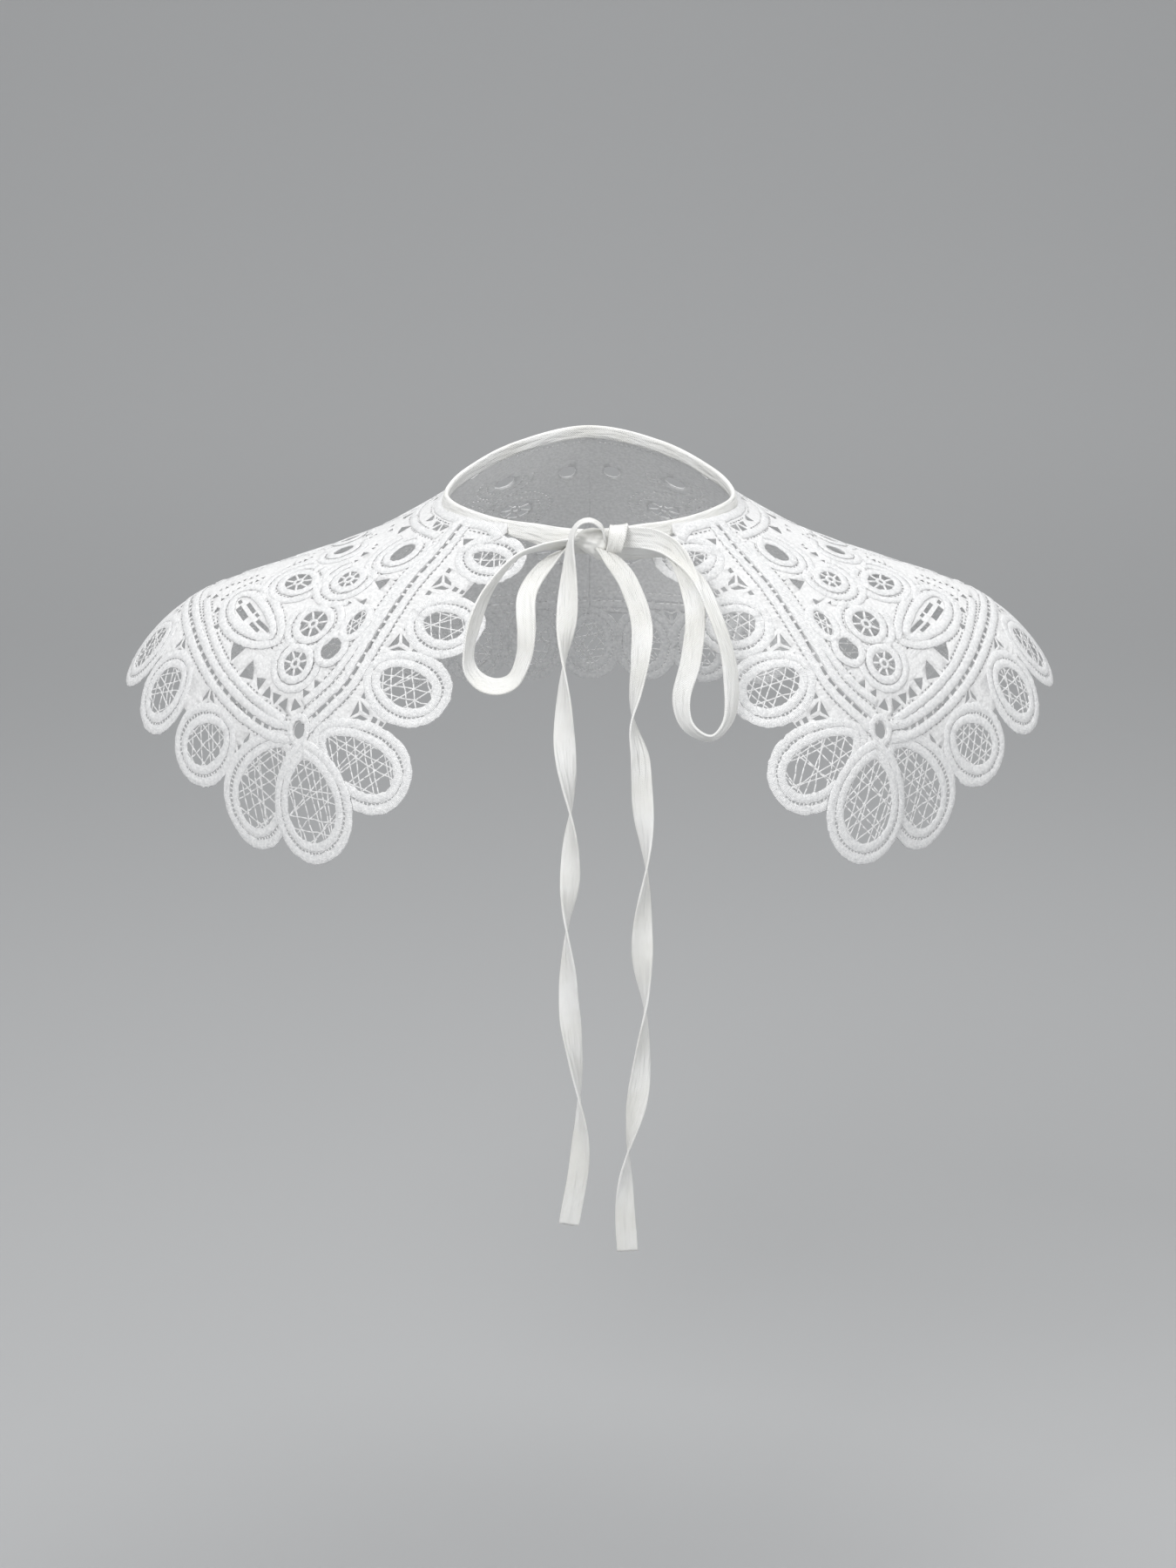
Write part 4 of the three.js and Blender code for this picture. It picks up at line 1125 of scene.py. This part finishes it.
RIGHT_LOOP = (86, [
    (-0.03, 0.16, 0.04, 0, 84), (-0.03, 0.34, 0.045, 0, 80), (-0.01, 0.55, 0.07, 6, 60),
    (0.08, 0.72, 0.19, 12, 34), (0.31, 0.83, 0.48, 12, 8), (0.57, 0.8, 0.67, 14, 0),
    (0.78, 0.72, 0.78, 28, 8), (0.93, 0.77, 0.85, 58, 26), (1.0, 0.95, 0.87, 86, 36),
    (0.92, 1.09, 0.81, 120, 20), (0.78, 1.13, 0.76, 138, 4), (0.57, 1.1, 0.67, 132, 0),
    (0.36, 1.0, 0.54, 126, 0), (0.16, 0.84, 0.28, 120, 0), (0.07, 0.6, 0.06, 110, 20),
    (0.07, 0.32, -0.04, 100, 56), (0.07, 0.18, -0.05, 96, 64),
])
LEFT_TAIL = (331, [
    (-0.01, 0.12, 0.09, 90, 0), (-0.026, 0.09, 0.13, 90, 0), (-0.036, 0.0, 0.157, 90, 0),
    (-0.03, -0.095, 0.167, 96, 0), (-0.009, -0.15, 0.185, 84, 0), (0.03, -0.165, 0.25, 50, 0),
    (0.09, -0.18, 0.42, 8, 0), (0.15, -0.2, 0.56, -80, 0), (0.27, -0.2, 0.77, -176, 0),
    (0.37, -0.15, 0.87, -270, 0), (0.455, -0.155, 0.92, -356, 0), (0.54, -0.18, 0.965, -450, 0),
    (0.67, -0.16, 1.0, -540, 0), (0.8, -0.08, 1.0, -630, 0), (0.9, -0.085, 1.0, -710, 0),
    (1.0, -0.17, 1.0, -722, 0),
])
RIGHT_TAIL = (345, [
    (0.008, 0.11, 0.06, -24, -20), (0.02, 0.18, 0.17, -20, -16), (0.05, 0.31, 0.26, -14, -8),
    (0.1, 0.41, 0.41, 0, 0), (0.15, 0.4, 0.56, 25, 0), (0.226, 0.34, 0.68, 90, 0),
    (0.28, 0.4, 0.78, 150, 0), (0.34, 0.42, 0.84, 184, 0), (0.43, 0.45, 0.93, 270, 0),
    (0.53, 0.42, 0.975, 350, 0), (0.635, 0.44, 0.99, 450, 0), (0.75, 0.4, 1.0, 540, 0),
    (0.845, 0.31, 1.0, 630, 0), (0.93, 0.29, 1.0, 706, 0), (1.0, 0.31, 1.0, 720, 0),
])

# The cross-section of the ribbon, as shares of its width and thickness: flat with a bead along each edge
RIBBON_FACE = [
    (-0.485, 0.42), (-0.43, 0.5), (-0.36, 0.34), (-0.12, 0.24), (0.0, 0.3),
    (0.12, 0.24), (0.36, 0.34), (0.43, 0.5), (0.485, 0.42),
]
RIBBON_BACK = [(-share, -lift) for share, lift in RIBBON_FACE]
RIBBON_SECTION = [(-0.5, 0.0), *RIBBON_FACE, (0.5, 0.0), *RIBBON_BACK]


def soften(rows, rounds):
    """Rows averaged with their neighbours, so a ribbon turns without kinks."""
    for _ in range(rounds):
        rows = np.vstack([rows[:1], (rows[:-2] + 2 * rows[1:-1] + rows[2:]) / 4, rows[-1:]])
    return rows


def lengths_to(places):
    """The length of a route up to each of its places."""
    return np.concatenate([[0], np.cumsum(np.linalg.norm(np.diff(places, axis=0), axis=1))])


def sweep_ribbon(name, centres, wides, section, width, thickness, closed=False, cup=None):
    """A ribbon swept along centres, with its broad side along wides. Everything is in millimetres."""
    if closed:
        run = np.roll(centres, -1, axis=0) - np.roll(centres, 1, axis=0)
    else:
        run = np.gradient(centres, axis=0)
    run /= np.linalg.norm(run, axis=1, keepdims=True)
    wides = wides - run * (wides * run).sum(axis=1, keepdims=True)
    wides /= np.linalg.norm(wides, axis=1, keepdims=True)
    thicks = np.cross(run, wides)
    count, sides = len(centres), len(section)
    steps = count if closed else count - 1
    ribbon = bmesh.new()
    layer = ribbon.verts.layers.float_vector.new("weave")
    travelled = lengths_to(centres)
    bmesh.ops.create_grid(ribbon, x_segments=steps, y_segments=sides, size=1)
    for vert in ribbon.verts:
        k = round((vert.co.x + 1) / 2 * steps) % count
        side = round((vert.co.y + 1) / 2 * sides) % sides
        across_share, lift_share = section[side]
        lift = lift_share * thickness
        if cup is not None:
            lift += cup[k] * (4 * across_share**2 - 0.33)
        place = centres[k] + wides[k] * across_share * width[k] + thicks[k] * lift
        vert.co = place * MM
        vert[layer] = (travelled[k], across_share * width[k], lift_share)
    bmesh.ops.remove_doubles(ribbon, verts=ribbon.verts, dist=1e-6)
    if not closed:
        bmesh.ops.holes_fill(ribbon, edges=[edge for edge in ribbon.edges if edge.is_boundary], sides=sides)
    bmesh.ops.recalc_face_normals(ribbon, faces=ribbon.faces)
    mesh = bpy.data.meshes.new(name)
    ribbon.to_mesh(mesh)
    ribbon.free()
    mesh.shade_smooth()
    return link(name, mesh), travelled[-1]


def ribbon_route(route, count):
    """Centres and broad directions of a ribbon from its table, spaced evenly along it."""
    drop, rows = route
    dense = smooth_rows(rows, 40 * len(rows))
    down, side, front = dense[:, 0] * drop, dense[:, 1] * LOOP_SPREAD, dense[:, 2] * CHEST_REACH
    places = KNOT_CENTRE + np.stack([side - KNOT_CENTRE[0], -front, -down], axis=1)
    travelled = lengths_to(places)
    marks = np.linspace(0, travelled[-1], count)
    centres = np.stack([np.interp(marks, travelled, places[:, k]) for k in range(3)], axis=1)
    face = np.radians(np.interp(marks, travelled, dense[:, 3]))
    tip = np.radians(np.interp(marks, travelled, dense[:, 4]))
    wides = np.stack([np.cos(face) * np.cos(tip), -np.sin(face) * np.cos(tip), np.sin(tip)], axis=1)
    return centres, soften(wides, RIBBON_SOFTENING)


def slow_change(count, spread, reach=9):
    """Slow, slight changes along a ribbon."""
    knots = rng.standard_normal(count // reach + 3)
    changes = np.interp(np.arange(count) / reach, np.arange(len(knots)), knots)
    return spread * soften(changes[:, None], 4)[:, 0]


def add_ribbon(name, route, count, node):
    """A loop or a tail of the bow, in place of its node of the CAD."""
    centres, wides = ribbon_route(route, count)
    width = RIBBON_WIDTH * (1 + slow_change(count, RIBBON_UNEVENNESS))
    cup = slow_change(count, RIBBON_CUP, reach=14)
    piece, length = sweep_ribbon(name, centres, wides, RIBBON_SECTION, width, RIBBON_THICKNESS, cup=cup)
    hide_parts(node)
    return piece


def eased(values, start, end):
    """A smooth change from 0 to 1 between two values."""
    share = np.clip((values - start) / (end - start), 0, 1)
    return share**2 * (3 - 2 * share)


def binding_line(count):
    """The middle of the binding round the neck, and its upward direction."""
    turn = np.linspace(-BINDING_FRONT_TURN, BINDING_FRONT_TURN, count)
    angle = np.radians(turn)
    level = np.zeros(count)
    outward = np.stack([np.sin(angle), np.cos(angle), level], axis=1)
    flare = BINDING_FLARE * eased(np.abs(turn), *BINDING_FLARE_TURNS)
    foot = cloth_points(turn, level) + outward * flare[:, None]
    foot[:, 2] -= BINDING_DIP * eased(np.abs(turn), *BINDING_DIP_TURNS)
    tilt = math.radians(BINDING_TILT)
    up = np.array([0, 0, math.cos(tilt)]) - outward * math.sin(tilt)
    return foot + up * (BINDING_HEIGHT / 2 - BINDING_OVERLAP), up


# The cross-section of the binding, as shares of its height and thickness: two leaves joined along the top
BINDING_SECTION = [
    (-0.5, -0.5), (-0.3, -0.47), (0.0, -0.46), (0.3, -0.47), (0.46, -0.3), (0.5, 0.0),
    (0.46, 0.3), (0.3, 0.47), (0.0, 0.46), (-0.3, 0.47), (-0.5, 0.5), (-0.5, 0.2),
    (0.0, 0.18), (0.28, 0.14), (0.28, -0.14), (0.0, -0.18), (-0.5, -0.2),
]


def add_binding():
    """The neck tape, which opens out a little where it nears the knot."""
    centres, up = binding_line(BINDING_STEPS)
    growth = BINDING_FRONT_GROWTH * np.clip((np.linspace(-1, 1, BINDING_STEPS) ** 2 - 0.66) / 0.2, 0, 1)
    width = BINDING_HEIGHT * (1 + slow_change(BINDING_STEPS, BINDING_UNEVENNESS)) + growth
    centres = centres - up * growth[:, None] / 2
    piece, length = sweep_ribbon("neck_tape", centres, up, BINDING_SECTION, width, BINDING_THICKNESS)
    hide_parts("neck_binding")
    return piece


def add_knot_wrap():
    """The turn of ribbon round the middle of the knot."""
    angle = np.linspace(0, 2 * np.pi, WRAP_STEPS, endpoint=False)
    side, front, up = WRAP_CENTRE
    side_reach, front_reach, up_reach = WRAP_REACH
    centres = np.stack([
        side + side_reach * np.cos(angle), front + front_reach * np.sin(angle), up + up_reach * np.cos(angle),
    ], axis=1)
    wides = np.tile([1.0, 0.0, 0.1], (WRAP_STEPS, 1))
    width = WRAP_WIDTH + 0.8 * np.cos(angle) + 0.15 * rng.standard_normal(WRAP_STEPS)
    piece, _ = sweep_ribbon("knot_wrap", centres, wides, RIBBON_SECTION, width, WRAP_THICKNESS, closed=True)
    return piece


def add_knot_fold():
    """The crumpled fold of ribbon that shows beside the wrap, drawn to a point below."""
    fold = bmesh.new()
    bmesh.ops.create_icosphere(fold, subdivisions=5, radius=1)
    side, front, up = FOLD_CENTRE
    half_width, half_depth, half_height = FOLD_REACH
    for vert in fold.verts:
        x, y, z = vert.co
        pleat = 1 + 0.08 * math.sin(8 * z + 5 * x + 1.0) + 0.05 * math.sin(11 * x - 6 * z)
        pleat += 0.03 * math.sin(17 * z)
        low = max(-z, 0)
        narrow = 1 - 0.55 * low**2
        vert.co = (
            (side + half_width * x * narrow + 3.6 * low**2) * MM,
            (front + half_depth * y * pleat * narrow) * MM,
            (up + (half_height + 3.0 * low) * z * (0.75 + 0.25 * pleat)) * MM,
        )
    mesh = bpy.data.meshes.new("knot_fold")
    fold.to_mesh(mesh)
    fold.free()
    mesh.shade_smooth()
    return link("knot_fold", mesh)


def ribbon_material():
    """Soft cotton tape: a fine diagonal twill and slight creases along it."""
    made, nodes, links, shader = node_material("cotton_twill_tape", (0.88, 0.875, 0.85), 0.82)
    tinted(nodes, links, shader, 45, (0.9, 0.9, 0.885), (0.83, 0.825, 0.79))
    weave = weave_place(nodes)
    lengthwise = nodes.new("ShaderNodeMapping")
    lengthwise.inputs["Scale"].default_value = (0.25, 1.6, 1.0)
    links.new(weave, lengthwise.inputs["Vector"])
    twill = bump(nodes, links, ribs(nodes, links, weave, "DIAGONAL", 0.55, 0.5), 0.6, 0.0003)
    creases = noise(nodes, links, lengthwise.outputs["Vector"], 0.24, 4)
    links.new(bump(nodes, links, creases, 0.85, 0.0026, twill), shader.inputs["Normal"])
    return made


ribbon_cloth = ribbon_material()
knot_wrap = add_knot_wrap()
knot_fold = add_knot_fold()
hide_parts("bow_knot")
ribbon_pieces = [
    knot_wrap,
    knot_fold,
    add_binding(),
    add_ribbon("loop_left", LEFT_LOOP, 130, "bow_loop_left"),
    add_ribbon("loop_right", RIGHT_LOOP, 160, "bow_loop_right"),
    add_ribbon("tail_left", LEFT_TAIL, 240, "tie_tail_left"),
    add_ribbon("tail_right", RIGHT_TAIL, 240, "tie_tail_right"),
]
for piece in ribbon_pieces:
    piece.data.materials.append(ribbon_cloth)
    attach(piece, "root")


def add_stage():
    """A pale floor that sweeps up behind."""
    sweep = bmesh.new()
    start = [sweep.verts.new((-FLOOR_HALF_WIDTH, y, z)) for y, z in FLOOR_PROFILE]
    edges = [sweep.edges.new(pair) for pair in zip(start[:-1], start[1:])]
    drawn = bmesh.ops.extrude_edge_only(sweep, edges=edges)["geom"]
    moved = [item for item in drawn if isinstance(item, bmesh.types.BMVert)]
    bmesh.ops.translate(sweep, vec=(2 * FLOOR_HALF_WIDTH, 0, 0), verts=moved)
    bmesh.ops.recalc_face_normals(sweep, faces=sweep.faces)
    mesh = bpy.data.meshes.new("floor")
    sweep.to_mesh(mesh)
    sweep.free()
    floor = link("floor", mesh)
    rounding = floor.modifiers.new("rounding", "SUBSURF")
    rounding.levels = rounding.render_levels = 3
    mesh.shade_smooth()
    mesh.materials.append(node_material("pale_floor", (0.44, 0.445, 0.45), 0.85, sheen=0)[0])


def add_lamp(name, place, size, power):
    """A soft square lamp that shines on the collar."""
    lamp = bpy.data.lights.new(name, "AREA")
    lamp.size = size
    lamp.energy = power
    made = link(name, lamp)
    made.location = place
    made.rotation_euler = (Vector(LAMP_TARGET) - Vector(place)).to_track_quat("-Z", "Y").to_euler()


def add_camera():
    """A camera at the photo's angle, with the collar a little right of the middle."""
    lens = bpy.data.cameras.new("camera")
    lens.sensor_fit = "VERTICAL"
    lens.sensor_height = SENSOR_HEIGHT
    lens.lens = FOCAL_PIXELS * SENSOR_HEIGHT / PHOTO_HEIGHT
    lens.shift_x = (PHOTO_MIDDLE - COLLAR_MIDDLE_PIXEL) / PHOTO_HEIGHT
    camera = link("camera", lens)
    camera.location = CAMERA_PLACE
    camera.rotation_euler = (math.radians(90 - CAMERA_PITCH), 0, 0)
    bpy.context.scene.camera = camera


add_stage()
add_camera()
for lamp in LAMPS:
    add_lamp(*lamp)
world = bpy.data.worlds.new("studio")
world.use_nodes = True
sky = world.node_tree.nodes["Background"]
sky.inputs["Color"].default_value = (0.98, 0.99, 1.0, 1)
sky.inputs["Strength"].default_value = 0.52
bpy.context.scene.world = world
bpy.context.scene.view_settings.view_transform = "Standard"
